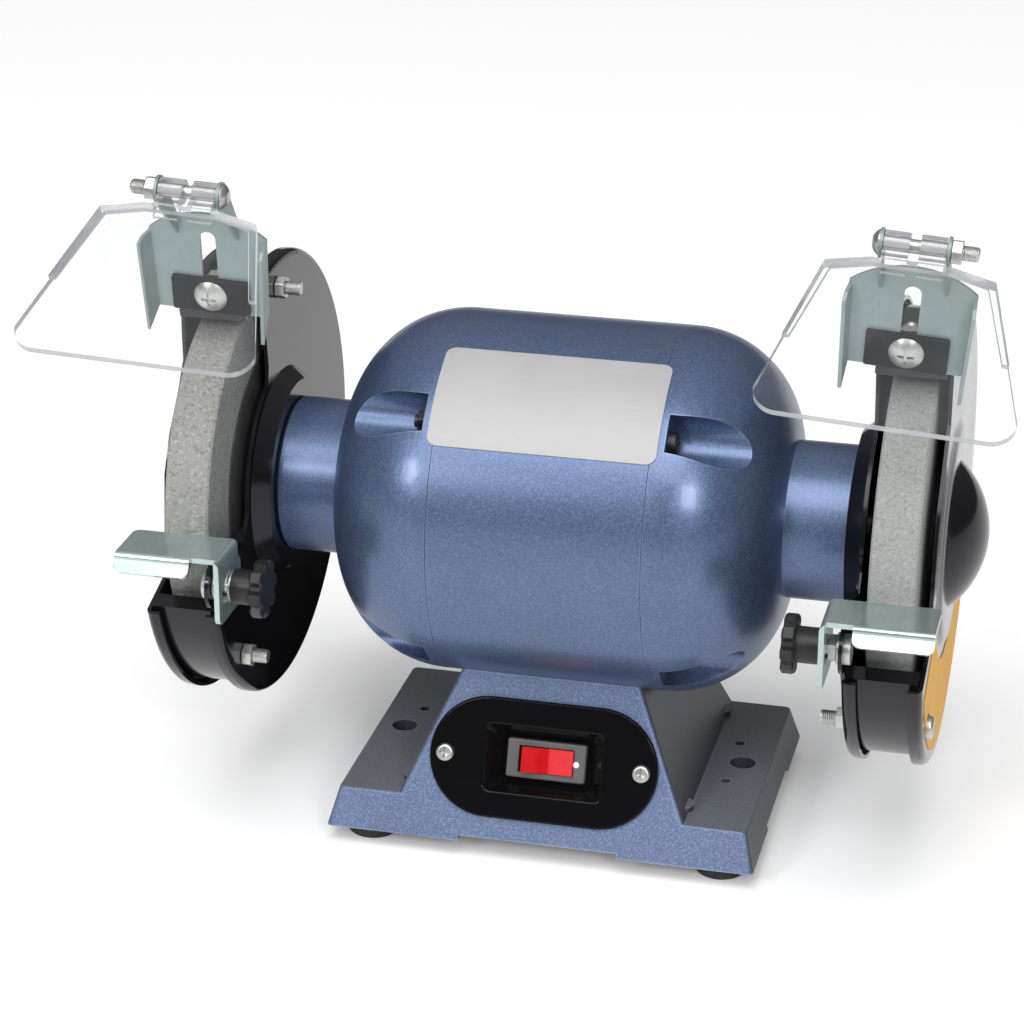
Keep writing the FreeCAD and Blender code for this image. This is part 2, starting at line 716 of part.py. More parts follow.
# run capacitor and its clip under the saddle
cap_y, cap_z, cap_r = 22.0, 33.0, 15.0
cap = cyl("capacitor_can", cap_r, 60.0, B(-30.0, cap_y, cap_z))
cap = fillet("capacitor_round", cap, 2.0, lambda e: e.Curve.TypeId == "Part::GeomCircle")
node("run_capacitor", fuse("run_capacitor", [cap] + [box("cap_tag", 8.0, 5.0, 0.8, B(29.0, cap_y - 2.5, cap_z + q)) for q in (-6.0, 5.0)]))
strap = cut("clip_ring", cyl("clip_out", cap_r + 1.4, 12.0, B(-6.0, cap_y, cap_z)), cyl("clip_in", cap_r + 0.05, 14.0, B(-7.0, cap_y, cap_z)))
foot = box("clip_foot", 12.0, 8.0, 11.0, B(-6.0, cap_y - 4.0, cap_z + 15.3))
node("capacitor_clip", cut("capacitor_clip", fuse("clip_all", [strap, foot]), cyl("clip_room", D("motor_rad") + 5.55, 40.0, S(-20, 0, 0))))

# saddle screws
ss = []
for sx in (-1, 1):
    ss.append(fuse("saddle_screw", [
        cyl("saddle_head", 4.4, 3.4, B(sx * 20.0, 0, AZ - D("motor_rad") - 9.0), TO_Z),
        cyl("saddle_shank", 2.5, 12.6, B(sx * 20.0, 0, AZ - D("motor_rad") - 7.5), TO_Z)]))
node("saddle_screws", group("saddle_screws", ss))

# ---------------------------------------------------------------- motor
mr, sh = D("motor_rad"), D("shell_half")
tube = turned("motor_tube", [(-sh + 0.2, mr), (-sh, mr - 0.2), (-sh, mr - 5.5), (sh, mr - 5.5), (sh, mr - 0.2), (sh - 0.2, mr)])
node("motor_shell", cuts("motor_shell", tube, [cyl("shell_hole", 2.55, 20.0, B(sx * 20.0, 0, AZ - D("motor_rad") - 8.0), TO_Z) for sx in (-1, 1)]))

bf, nr, ne = D("bell_flat"), D("neck_rad"), D("neck_end")
# circle that leaves the cylinder level and meets the neck
big = (vals["motor_rad"] - vals["neck_rad"])
run = 44.5
arc_r = (run * run + big * big) / (2 * big)
arc_c = mr - arc_r
outer = turned("bell_outer", [(sh + 0.02, 0), (sh + 0.02, mr - 0.2), (sh + 0.2, mr), (bf, mr), (bf + run, nr), (ne - 1.0, nr), (ne, nr - 1.0), (ne, 0)],
               {3: (bf, arc_c, False)})
in_r = arc_r - 5.5
dx_in = math.sqrt(in_r ** 2 - (30.0 - (vals["motor_rad"] - arc_r)) ** 2)
inner = turned("bell_inner", [(sh - 1, 0), (sh - 1, mr - 5.5), (bf, mr - 5.5), (bf + dx_in, 30.0), (bf + dx_in, 25.0), (98.0, 25.0),
                              (98.0, D("bearing_rad") + 0.01), (D("bearing_out") + 0.05, D("bearing_rad") + 0.01), (D("bearing_out") + 0.05, 9.5),
                              (ne + 1, 9.5), (ne + 1, 0)], {2: (bf, arc_c, False)})
bb, pockets, bores = [], [], []
for deg in (45, 135, 225, 315):
    py, pz = on_pitch(D("pocket_pitch"), deg)
    qy, qz = on_pitch(D("bolt_pitch"), deg)
    bb.append(cyl("pocket_boss", D("pocket_rad") + 3.2, 36.0, S(sh + 0.02, py, pz)))
    pockets.append(cyl("pocket", D("pocket_rad"), 60.0, S(D("pocket_floor"), py, pz)))
    bores.append(cyl("tie_bore", 2.6, 12.0, S(sh - 2, qy, qz)))
for deg in (90, 210, 330):
    gy, gz = polar(24.0, deg)
    bores.append(cyl("guard_tap", 2.45, 13.0, S(ne - 12.5, gy, gz)))
bossed = fuse("bell_bossed", [cut("bell_hollow", outer, inner), common("bell_bosses", [fuse("bell_boss_all", bb), outer])])
bell = cuts("end_bell", bossed, pockets + bores)
both("end_bell_right", "end_bell_left", bell)

ties, tnuts = [], []
for deg in (45, 135, 225, 315):
    qy, qz = on_pitch(D("bolt_pitch"), deg)
    hd = cyl("tie_head", 4.6, 3.4, S(D("pocket_floor") + 0.02, qy, qz))
    hd = fillet("tie_head_round", hd, 1.4, lambda e: e.Curve.TypeId == "Part::GeomCircle" and near(e, x=D("pocket_floor") + 3.42))
    t = fuse("tie_bolt", [hd, cyl("tie_shank", 2.5, D("pocket_floor") * 2 + 6.0, S(-D("pocket_floor") - 5.5, qy, qz))])
    ties.append(cuts("tie_cross", t, [
        box("tie_cross_a", 2.0, 5.0, 1.0, S(D("pocket_floor") + 2.0, qy - 2.5, qz - 0.5)),
        box("tie_cross_b", 2.0, 1.0, 5.0, S(D("pocket_floor") + 2.0, qy - 0.5, qz - 2.5))]))
    tnuts.append(cut("tie_nut", hexa("tie_hex", 4.6, 4.0, S(-D("pocket_floor") - 4.02, qy, qz)),
                     cyl("tie_nut_bore", 2.52, 6.0, S(-D("pocket_floor") - 5.0, qy, qz))))
node("tie_bolts", group("tie_bolts", ties))
node("tie_bolt_nuts", group("tie_bolt_nuts", tnuts))

st = D("stack_half")
gr = D("gap_rad")
core = turned("stator_ring", [(-st, gr + 0.5), (st, gr + 0.5), (st, mr - 5.55), (-st, mr - 5.55)])
grooves = []
for deg in (45, 135, 225, 315):
    qy, qz = on_pitch(D("bolt_pitch"), deg)
    grooves.append(cyl("stator_groove", 4.6, 80.0, S(-40, qy, qz)))
for i in range(24):
    a = math.radians(15.0 * i + 7.5)
    sl = box("stator_slot", 80.0, 14.0, 3.4, (-40.0, 0, 0))
    turn = Rotation(Vector(1, 0, 0), math.degrees(a))
    fixed(sl, Placement(Vector(-40, vals["axis_y"], vals["axis_z"]) + turn.multVec(Vector(0, vals["gap_rad"] + 2.5, -1.7)), turn))
    grooves.append(sl)
node("stator_core", cuts("stator_core", core, grooves))
w = []
for sx in (-1, 1):
    b = turned("winding", [(sx * (st + 0.3), gr + 5.0), (sx * (st + 2.5), gr + 3.4), (sx * (st + 11.0), gr + 3.4), (sx * (st + 13.5), gr + 6.0),
                           (sx * (st + 13.5), gr + 14.0), (sx * (st + 11.0), gr + 17.0), (sx * (st + 2.5), gr + 17.0), (sx * (st + 0.3), gr + 15.0)])
    w.append(b)
node("stator_windings", group("stator_windings", w))

# nameplate on the upper front of the shell
np_out = cyl("nameplate_out", mr + 0.55, 88.0, (-44.0, AY, AZ), TO_X, 35.5)
np_in = cyl("nameplate_in", mr + 0.04, 100.0, (-50.0, AY, AZ), TO_X)
np0 = cut("nameplate_sheet", np_out, np_in)
# the sector starts at the cylinder's own x axis: turn it to 34.5 degrees above the front
doc.recompute()
np_out.Placement = Placement(Vector(-44.0, vals["axis_y"], vals["axis_z"]), Rotation(Vector(1, 0, 0), 90.0 + 180.0 - 70.0 - 0.0).multiply(TO_X))
doc.recompute()
node("nameplate", fillet("nameplate", np0, 4.0, lambda e: e.Length < 1.0))

# bearings
bi, bo = D("bearing_in"), D("bearing_out")
mid = (bi + bo) / 2
outs, ins, balls = [], [], []
for sx in (-1, 1):
    x0 = bi if sx > 0 else -bo
    tr = torus("race", 12.5, 3.06, S(sx * mid, 0, 0))
    o = cut("outer_tube", cyl("outer_blank", D("bearing_rad"), bo - bi, S(x0, 0, 0)), cyl("outer_hole", 14.3, 30.0, S(x0 - 5, 0, 0)))
    outs.append(cut("outer_ring", o, tr))
    i_ = cut("inner_tube", cyl("inner_blank", 10.7, bo - bi, S(x0, 0, 0)), cyl("inner_hole", D("bearing_bore"), 30.0, S(x0 - 5, 0, 0)))
    ins.append(cut("inner_ring", i_, tr))
    for k in range(8):
        by, bz = polar(12.5, 45.0 * k + 10.0)
        balls.append(ball("bearing_ball", 2.97, S(sx * mid, by, bz)))
node("bearing_outer_rings", group("bearing_outer_rings", outs))
node("bearing_inner_rings", group("bearing_inner_rings", ins))
node("bearing_balls", group("bearing_balls", balls))

# shaft and rotor core
se, sr, brr = D("spindle_end"), D("spindle_rad"), D("bearing_bore")
seat = 120.2
prof = [(bi - 0.2, 9.0), (bi - 0.2, brr - 0.005), (seat, brr - 0.005), (seat, sr), (D("wheel_out") + 2, sr), (D("wheel_out") + 2, sr - 0.35),
        (se - 1.0, sr - 0.35), (se, sr - 1.35)]
pts = [(-x, r) for x, r in reversed(prof)] + prof
pts = [(-se, 0)] + pts + [(se, 0)]
node("shaft", turned("shaft", pts))
rot0 = turned("rotor_blank", [(-st - 7, 14.0), (-st - 7, gr - 2.0), (-st, gr - 2.0), (-st, gr), (st, gr), (st, gr - 2.0), (st + 7, gr - 2.0), (st + 7, 14.0),
                              (st, 14.0), (st, 9.005), (-st, 9.005), (-st, 14.0)])
node("rotor_core", rot0)

# ---------------------------------------------------------------- wheels
wi, wo, wr = D("wheel_in"), D("wheel_out"), D("wheel_rad")
wheel = turned("wheel", [(wi, sr + 0.02), (wo, sr + 0.02), (wo, wr - 0.8), (wo - 0.8, wr), (wi + 0.8, wr), (wi, wr - 0.8)])
both("wheel_right", "wheel_left", wheel)
bt, br_ = D("blot"), D("blot_rad")
bl = [turned("blotter", [(wi - bt, 9.0), (wi - 0.005, 9.0), (wi - 0.005, br_), (wi - bt, br_)]),
      turned("blotter", [(wo + 0.005, 9.0), (wo + bt, 9.0), (wo + bt, D("flange_rad") + 3), (wo + 0.005, D("flange_rad") + 3)])]
bl += [mirror("blotter_left", q) for q in bl]
node("wheel_blotters", group("wheel_blotters", bl))
fr = D("flange_rad")
fi = turned("inner_flange", [(seat, sr + 0.01), (seat, 11.0), (seat + 0.6, 12.0), (seat + 0.6, fr - 0.6), (seat + 1.2, fr), (wi - bt - 0.005, fr), (wi - bt - 0.005, fr - 7), (wi - bt - 0.6, fr - 8),
                             (wi - bt - 0.6, sr + 0.01)])
node("inner_flanges", group("inner_flanges", [fi, mirror("inner_flange_left", fi)]))
fo = turned("outer_flange", [(wo + bt + 0.005, fr - 8), (wo + bt + 0.005, fr - 1), (wo + bt + 2.0, fr - 1), (wo + bt + 3.5, fr - 4), (wo + bt + 3.5, sr + 0.01), (wo + bt + 0.6, sr + 0.01), (wo + bt + 0.6, fr - 9)])
node("outer_flanges", group("outer_flanges", [fo, mirror("outer_flange_left", fo)]))
nut0 = hexa("spindle_hex", 10.9, 9.0, S(wo + bt + 3.55, 0, 0))
nut_cone = turned("spindle_nut_round", [(wo + bt + 3, 0), (wo + bt + 3, 10.2), (wo + bt + 4.2, 11.2), (wo + bt + 11.2, 11.2), (wo + bt + 13.0, 9.6), (wo + bt + 13.0, 0)])
nut1 = cut("spindle_nut", common("spindle_nut_blank", [nut0, nut_cone]), cyl("spindle_nut_bore", sr - 0.34, 20.0, S(wo, 0, 0)))
both("spindle_nut_right", "spindle_nut_left", nut1)

# ---------------------------------------------------------------- guards
def clamp_place(side, turn):
    """Lean of the arrester tab and a turn about the arrester screw; side is 1 on the right, -1 on the left."""
    c = Vector(side * vals["scr_x"], vals["axis_y"] + vals["tab_y"], vals["axis_z"] + vals["scr_z"])
    r = Rotation(Vector(1, 0, 0), vals["tab_lean"]).multiply(Rotation(Vector(0, 1, 0), turn))
    return Placement(c - r.multVec(c), r)


def leaned(o):
    fixed(o, clamp_place(1, 0.0).multiply(o.Placement))
    return o


def clamped(name, o, side):
    """The piece in its clamped place."""
    g = group(name, [o])
    g.Placement = clamp_place(side, vals["turn_right"] if side > 0 else vals["turn_left"])
    return g


def clamped_pair(name, o):
    return [clamped(name, o, 1), clamped(name + "_left", mirror(name + "_mirror", o), -1)]


def both_clamped(right_name, left_name, o):
    a, b = clamped_pair(right_name, o)
    node(right_name, a)
    node(left_name, b)


gi, go, t, gR = D("guard_in"), D("guard_out"), D("sheet_t"), D("guard_rad")
bR = D("band_rad")
pan = turned("guard_pan", [(ne, 12.0), (ne, 38.0), (gi, 43.0), (gi, gR - 3), (gi + 3, gR), (gi + 5.5, gR), (gi + 5.5, gR - t), (gi + 3, gR - t),
                           (gi + t, gR - 3), (gi + t, 42.4), (ne + t, 37.4), (ne + t, 12.0)],
             {3: (gi + 3, gR - 3, False), 7: (gi + 3, gR - 3, True)})
# the opening of the inner plate runs down from the top, round the hub and out along the rest
front_in = [(-14.0, 98.0), (-22.0, 87.3), (-22.5, 79.0), (-20.0, 72.0), (-17.5, 61.0), (-15.8, 50.0), polar(46.0, 68.5), polar(46.0, 0.0), (-51.0, -7.0), (-59.0, -19.2),
            (-90.0, -29.2), (-112.0, -36.4), (-112.0, 98.0)]
pan_cut = sheet_x("guard_front", front_in, {6: (0, 0, True)}, 110.0, 20.0)
band = cut("band_tube", cyl("band_out", bR, go - t - 0.4 - gi - t, S(gi + t, 0, 0)), cyl("band_in", bR - t, 60.0, S(gi - 10, 0, 0)))
lowa = polar(120.0, -18.0)
front_band = [(-37.4, 120.0), (-37.4, 40.0), (0.0, 0.0), lowa, (-130.0, 120.0)]
band_cut = sheet_x("band_front", front_band, None, 100.0, 70.0)
ty = D("tab_y")
sz = D("scr_z")
mx = D("mid_x")
scx = D("scr_x")
tab = leaned(box("arrester_tab", 26.0, 2.0, 18.9, S(mx - 13.0, ty, sz - 12.6)))
lip = box("band_lip", go - t - 0.4 - gi - t, 7.0, 1.5, S(gi + t, 0, 0))
lp = polar(vals["band_rad"], -18.0)
ang = Rotation(Vector(1, 0, 0), 18.0)
fixed(lip, Placement(Vector(vals["guard_in"] + vals["sheet_t"], vals["axis_y"] + lp[0], vals["axis_z"] + lp[1]) + ang.multVec(Vector(0, 0, -1.5)), ang))
sy, szz = D("stud_y"), D("stud_z")
lug = sheet_x("rest_lug", [(-54.0, -3.2), (sy, szz + 9.3), (sy, szz - 9.3), (-80.0, -33.0), (-62.0, -34.0), (-50.0, -20.0)],
              {1: (sy, szz, True)}, gi, t)
cpos = [on_pitch(D("cscrew_pitch") - 1.0, 88.0), on_pitch(D("cscrew_pitch"), -44.0), on_pitch(D("cscrew_pitch"), 200.0)]
gh = [cyl("guard_screw_hole", 2.6, 20.0, S(112.0, q[0], q[1])) for q in cpos]
gh.append(cyl("stud_hole", 3.02, 20.0, S(112.0, sy, szz)))
gh.append(leaned(cyl("arrester_hole", 2.95, 20.0, S(scx, ty - 6, sz), TO_Y)))
for deg in (90, 210, 330):
    gy, gz = polar(24.0, deg)
    gh.append(cyl("guard_fix_hole", 2.6, 12.0, S(ne - 4, gy, gz)))
guard = cuts("guard", fuse("guard_all", [cut("pan_open", pan, pan_cut), cut("band_open", band, band_cut), tab, lip, lug]), gh)
both("guard_right", "guard_left", guard)

dr, dtip = D("dome_rad"), D("dome_tip")
dc = dtip - dr
shelf = go + 1.5
r_out = math.sqrt(vals["dome_rad"] ** 2 - (vals["guard_out"] + 1.5 - (vals["dome_tip"] - vals["dome_rad"])) ** 2)
r_in = math.sqrt((vals["dome_rad"] - 1.5) ** 2 - (vals["guard_out"] - (vals["dome_tip"] - vals["dome_rad"])) ** 2)
lid = turned("guard_lid", [(dtip, 0), (shelf, r_out), (shelf, 41.0), (go, 45.0), (go, gR - 3), (go - 3, gR), (go - 5.5, gR), (go - 5.5, gR - t), (go - 3, gR - t),
                           (go - t, gR - 3), (go - t, 45.6), (shelf - t, 41.6), (shelf - t, r_in), (dtip - t, 0)],
             {0: (dc, 0, True), 4: (go - 3, gR - 3, True), 8: (go - 3, gR - 3, False), 12: (dc, 0, False)})
front_out = [(-20.0, 106.5), (-31.0, 84.0), (-31.5, 66.0), (-31.0, 56.0), (-38.0, 46.0), (-50.0, 32.0), (-57.5, 18.0), (-60.0, -4.0), (-63.0, -22.5), (-85.6, -29.0),
             (-112.0, -37.6), (-112.0, 106.5)]
lid_cut = sheet_x("lid_front", front_out, None, 130.0, 40.0)
lid_holes = [cyl("lid_hole", 2.6, 20.0, S(140.0, q[0], q[1])) for q in cpos]
both("guard_cover_right", "guard_cover_left", cuts("guard_cover", cut("lid_open", lid, lid_cut), lid_holes))

csr, cn, gs = [], [], []
for q in cpos:
    hd = cyl("cover_head", 4.6, 2.8, S(go + 0.02, q[0], q[1]))
    hd = fillet("cover_head_round", hd, 1.6, lambda e: e.Curve.TypeId == "Part::GeomCircle" and near(e, x=go + 2.82))
    sc = fuse("cover_screw", [hd, cyl("cover_shank", 2.5, go - 109.5 + 1.0, S(109.5, q[0], q[1]))])
    csr.append(cuts("cover_screw_cross", sc, [
        box("cover_cross_a", 2.0, 5.0, 1.0, S(go + 1.5, q[0] - 2.5, q[1] - 0.5)),
        box("cover_cross_b", 2.0, 1.0, 5.0, S(go + 1.5, q[0] - 0.5, q[1] - 2.5))]))
    cn.append(cut("cover_nut", hexa("cover_hex", 4.7, 4.0, S(gi - 4.02, q[0], q[1])), cyl("cover_nut_bore", 2.52, 8.0, S(gi - 6, q[0], q[1]))))
csr += [mirror("cover_screw_left", q) for q in csr]
cn += [mirror("cover_nut_left", q) for q in cn]
node("cover_screws", group("cover_screws", csr))
node("cover_nuts", group("cover_nuts", cn))
for deg in (90, 210, 330):
    gy, gz = polar(24.0, deg)
    gs.append(fuse("guard_fix", [cyl("guard_fix_head", 4.3, 2.2, S(ne + t + 0.02, gy, gz)), cyl("guard_fix_shank", 2.4, 13.0, S(ne + t - 12.0, gy, gz))]))
gs += [mirror("guard_fix_left", q) for q in gs]
node("guard_mount_screws", group("guard_mount_screws", gs))

# plain patch on the right cover
ri, ro = 48.5, 84.0
pa = [polar(ro, -26.0), polar(ro, -150.0), polar(ri, -150.0), polar(ri, -26.0)]
patch = sheet_x("cover_patch", pa, {0: (0, 0, True), 2: (0, 0, False)}, go + 0.02, 0.25)
q = cpos[1]
node("cover_patch", cut("cover_patch_all", patch, cyl("patch_hole", 5.4, 6.0, S(go - 2, q[0], q[1]))))

# ---------------------------------------------------------------- arresters, brackets, shields
# drawn upright round the arrester screw, then leaned with the tab and turned a little about the screw
al = D("arr_len") / 2
arr = new_body("arrester_plate", (0, AY + ty - 1.5, AZ))
s = on_plane(arr, "XZ_Plane", "arrester_plate")
round_rect(s, scx - al, scx + al, D("arr_low"), D("arr_high"), 1.0)
slot_loop(s, scx, sz, 2.1, 3.1, True)
pad(arr, s, 1.5)
both_clamped("spark_arrester_right", "spark_arrester_left", arr)

asr = fuse("arrester_screw_all", [
    cyl("arrester_shank", 2.9, 16.5, S(scx, ty - 3.2, sz), TO_Y),
    common("truss_head", [cyl("truss_blank", 6.5, 3.0, S(scx, ty - 6.05, sz), TO_Y), ball("truss_ball", 9.4, S(scx, ty - 6.05 + 9.4, sz))])])
asr = cuts("arrester_screw", asr, [
    box("arr_cross_a", 6.0, 2.0, 1.2, S(scx - 3.0, ty - 6.8, sz - 0.6)),
    box("arr_cross_b", 1.2, 2.0, 6.0, S(scx - 0.6, ty - 6.8, sz - 3.0))])
node("arrester_screws", group("arrester_screws", clamped_pair("arrester_screw_at", asr)))
anut = cut("arrester_nut", fuse("arrester_nut_all", [
    cyl("arrester_flange", 6.2, 1.4, S(scx, ty + 2.02, sz), TO_Y), hexa("arrester_hex", 5.6, 5.2, S(scx, ty + 2.5, sz), TO_Y)]),
    cyl("arrester_nut_bore", 2.92, 12.0, S(scx, ty, sz), TO_Y))
node("arrester_nuts", group("arrester_nuts", clamped_pair("arrester_nut_at", anut)))

wh, whl, wl, wsh, wc = D("web_half"), D("web_half_low"), D("web_low"), D("web_shoulder"), D("web_crown")
wy = ty - 0.05
hx, hy, hz = D("hinge_x"), D("hinge_y"), D("hinge_z")
rise = vals["web_crown"] - vals["web_shoulder"]
half = vals["web_half"]
crown_r = (half * half + rise * rise) / (2 * rise)
sh_ = D("slot_high")
web = sheet_y("bracket_web", [(scx - whl, wl), (scx + whl, wl), (scx + wh, wsh), (scx - wh, wsh)], {2: (scx, wc - crown_r, True)}, wy, 1.4,
              (), ((scx, (sz - 3.3 + sh_ - 3.1) / 2 + 1.5, (sh_ - sz) / 2 - 1.5, 3.1, True),))
taper = math.degrees(math.atan2(vals["web_half"] - vals["web_half_low"], vals["web_shoulder"] - vals["web_low"]))
tall = wsh - wl


def flanges(splay):
    """The folded sides, left and right, each opened out by its splay in degrees."""
    out = []
    for sx, deg in zip((-1, 1), splay):
        f = new_body("bracket_flange", (scx + sx * (whl - 0.7) - 0.7, AY + wy, AZ + wl),
                     Rotation(Vector(0, 1, 0), sx * taper).multiply(Rotation(Vector(0, 0, 1), sx * deg)))
        s = on_plane(f, "YZ_Plane", "bracket_flange")
        loop(s, [(0, tall - 1.0), (-6.2, tall - 2.2), (-8.6, tall - 4.6), (-8.6, -7.6), (-1.6, 0.5), (0, 0.5)])
        pad(f, s, 1.4)
        out.append(f)
    return out


# ears that carry the hinge bolt, 5.2 mm round the bolt
er = 5.2
c = Vector(vals["hinge_y"], vals["hinge_z"], 0)


def touch(p, side):
    """Where a line from p touches the ear circle."""
    d = Vector(p[0], p[1], 0) - c
    L = d.Length
    a = math.atan2(d.y, d.x)
    k = math.acos(er / L)
    a += side * k
    return (c.x + er * math.cos(a), c.y + er * math.sin(a))


p_hi = (vals["tab_y"] - 0.05, 121.0)
p_lo = (vals["tab_y"] - 0.05 - 1.4, 114.0)
t_hi, t_lo = touch(p_hi, 1), touch(p_lo, -1)
ears = []
for x0 in (hx - 12.5, hx + 11.3):
    ears.append(sheet_x("bracket_ear", [(wy, 114.0), (wy, 121.0), t_hi, t_lo, (wy - 1.4, 114.0)], {2: (hy, hz, True)}, x0, 1.2))
eh = [cyl("ear_hole", D("pin_rad") + 0.05, 60.0, S(hx - 30, hy, hz))]
# the folded sides stand as they were bent: the left one is opened further, most of all on the left bracket, which is drawn mirrored
rb_ = cuts("shield_bracket", fuse("bracket_all", [web] + flanges((10.0, 3.0)) + ears), eh)
lb_ = cuts("shield_bracket_turned", fuse("bracket_turned", [web] + flanges((3.0, 24.0)) + ears), eh)
node("shield_bracket_right", clamped("shield_bracket_right", rb_, 1))
node("shield_bracket_left", clamped("shield_bracket_left", mirror("shield_bracket_mirror", lb_), -1))

hb_head = common("hinge_head", [cyl("hinge_head_blank", 4.6, 2.6, S(hx - 12.5 - 2.62, hy, hz)), ball("hinge_head_ball", 5.4, S(hx - 12.5 + 2.4, hy, hz))])
hb = fuse("hinge_bolt", [hb_head, cyl("hinge_shank", D("pin_rad"), 34.9, S(hx - 12.52, hy, hz))])
hb = chamfer("hinge_bolt_end", hb, 0.5, lambda e: e.Curve.TypeId == "Part::GeomCircle" and near(e, x=hx - 12.52 + 34.9))
both_clamped("hinge_bolt_right", "hinge_bolt_left", hb)
hn = cut("hinge_nut", hexa("hinge_hex", 4.7, 4.0, S(hx + 12.55, hy, hz)), cyl("hinge_nut_bore", D("pin_rad") + 0.01, 9.0, S(hx + 11, hy, hz)))
both_clamped("hinge_nut_right", "hinge_nut_left", hn)

# eye shield, drawn flat: x across, y away from the hinge, then tilted to its place
PANE = Rotation(Vector(1, 0, 0), 196.9)
pt_, pl_, pp, plw = D("pane_t"), D("pane_len"), D("pane_top"), D("pane_low")
hinge_at = S(hx, hy, hz)


def pane_at(x, y, z):
    d = PANE.multVec(Vector(0, y, z))
    return (hinge_at[0] + x, hinge_at[1] + d.y, hinge_at[2] + d.z)


pane = new_body("pane", pane_at(0.0, 0, -vals["pane_t"] / 2), PANE)
s = on_plane(pane, "XY_Plane", "pane")
rc = 9.0
loop(s, [(-11.0, 7.2), (11.0, 7.2), (11.0, 10.0), (14.0, 10.0), (pp, 14.05), (plw, pl_ - rc), (plw - rc, pl_), (-plw + rc, pl_), (-plw, pl_ - rc), (-pp, 14.05),
         (-14.0, 10.0), (-11.0, 10.0)],
     {5: (plw - rc, pl_ - rc, True), 7: (-plw + rc, pl_ - rc, True)})
pad(pane, s, pt_)
kn = []
for x0 in (-11.0, 1.9):
    kn.append(cyl("knuckle", 4.6, 9.1, pane_at(x0, 0, 0)))
    kn.append(box("knuckle_root", 9.1, 12.0, 5.2, pane_at(x0, 0, -2.6), PANE))
rib = new_body("pane_rib", pane_at(0.0, 0, -vals["pane_t"] / 2 - 2.2), PANE)
s = on_plane(rib, "XY_Plane", "pane_rib")
side = (vals["pane_low"] - vals["pane_top"]) / (vals["pane_len"] - 9.0 - 14.05)
y_end = 49.0
xr = vals["pane_top"] + side * (y_end - 14.05)
loop(s, [(-11.0, 9.6), (11.0, 9.6), (11.0, 10.0), (14.0, 10.0), (pp, 14.05), (xr, y_end), (xr - 2.4, y_end), (pp - 2.4, 16.3), (13.6, 12.6), (-13.6, 12.6), (-pp + 2.4, 16.3),
         (-xr + 2.4, y_end), (-xr, y_end), (-pp, 14.05), (-14.0, 10.0), (-11.0, 10.0)])
pad(rib, s, 2.4)
shield = fuse("shield_all", [pane, rib] + kn)
gapx = box("hinge_gap", 3.8, 14.0, 12.0, pane_at(-1.9, -6.0, -6.0), PANE)
shield = cuts("eye_shield", shield, [cyl("shield_bore", D("pin_rad") + 0.08, 60.0, pane_at(-30, 0, 0)), gapx])
both_clamped("eye_shield_right", "eye_shield_left", shield)

# ---------------------------------------------------------------- tool rests
rt, rth, rb, rf, ro_, ti = D("rest_top"), D("rest_t"), D("rest_back"), D("rest_front"), D("rest_out"), D("tab_in")
top = new_body("rest_plate", (0, AY, AZ + rt - rth))
s = on_plane(top, "XY_Plane", "rest_plate")
loop(s, [(ti, rf), (125.0, rf), (ro_, rf), (ro_, rb - 3.0), (ro_ - 3.0, rb), (ti + 1.5, rb), (ti, rb - 1.5)],
     {3: (ro_ - 3.0, rb - 3.0, True), 5: (ti + 1.5, rb - 1.5, True)})
pad(top, s, rth)
# front lip folded down
LIP = Rotation(Vector(1, 0, 0), 180.0 + 52.0)
lipb = new_body("rest_lip", S(0, rf, rt), LIP)
s = on_plane(lipb, "XY_Plane", "rest_lip")
loop(s, [(125.0, 0.0), (ro_, 0.0), (ro_, 5.2), (ro_ - 3.0, 8.2), (128.0, 8.2), (125.0, 5.2)],
     {2: (ro_ - 3.0, 5.2, True), 4: (128.0, 5.2, True)})
pad(lipb, s, rth)
knee = cyl("rest_knee", rth, ro_ - 125.0, S(125.0, rf, rt - rth))
wing = new_body("rest_tab", (ti, AY, AZ))
s = on_plane(wing, "YZ_Plane", "rest_tab")
loop(s, [(-79.6, rt), (-103.0, rt), (-103.0, -19.5), (-99.5, -23.0), (-80.5, -23.0), (-77.0, -19.5), (-77.0, -5.0), (-79.6, -3.0)],
     {2: (-99.5, -19.5, True), 4: (-80.5, -19.5, True)})
slot_loop(s, sy - 2.5, szz, 6.5, 3.25, False)
pad(wing, s, rth)
rest = fuse("rest_all", [top, lipb, knee, wing])
rest = fillet("rest_bend", rest, 2.6, lambda e: along(e, Y1) and near(e, x=ti, z=AZ + rt) and e.Length > 10)
both("tool_rest_right", "tool_rest_left", rest)

stud = fuse("stud_all", [cyl("stud_shank", D("stud_rad"), 21.5, S(gi + t - 20.5, sy, szz)), cyl("stud_head", 5.8, 2.4, S(gi + t + 0.02, sy, szz))])
node("rest_studs", group("rest_studs", [stud, mirror("stud_left", stud)]))
sn = cut("stud_nut", fuse("stud_nut_all", [cyl("stud_flange", 6.0, 1.3, S(gi - 1.32, sy, szz)), hexa("stud_hex", 5.5, 4.0, S(gi - 4.1, sy, szz))]),
         cyl("stud_nut_bore", D("stud_rad") + 0.02, 10.0, S(gi - 7, sy, szz)))
node("stud_nuts", group("stud_nuts", [sn, mirror("stud_nut_left", sn)]))
wa = cut("rest_washer", cyl("washer_blank", 6.4, 1.0, S(ti - 1.1, sy, szz)), cyl("washer_bore", D("stud_rad") + 0.05, 6.0, S(ti - 3, sy, szz)))
node("rest_washers", group("rest_washers", [wa, mirror("washer_left", wa)]))

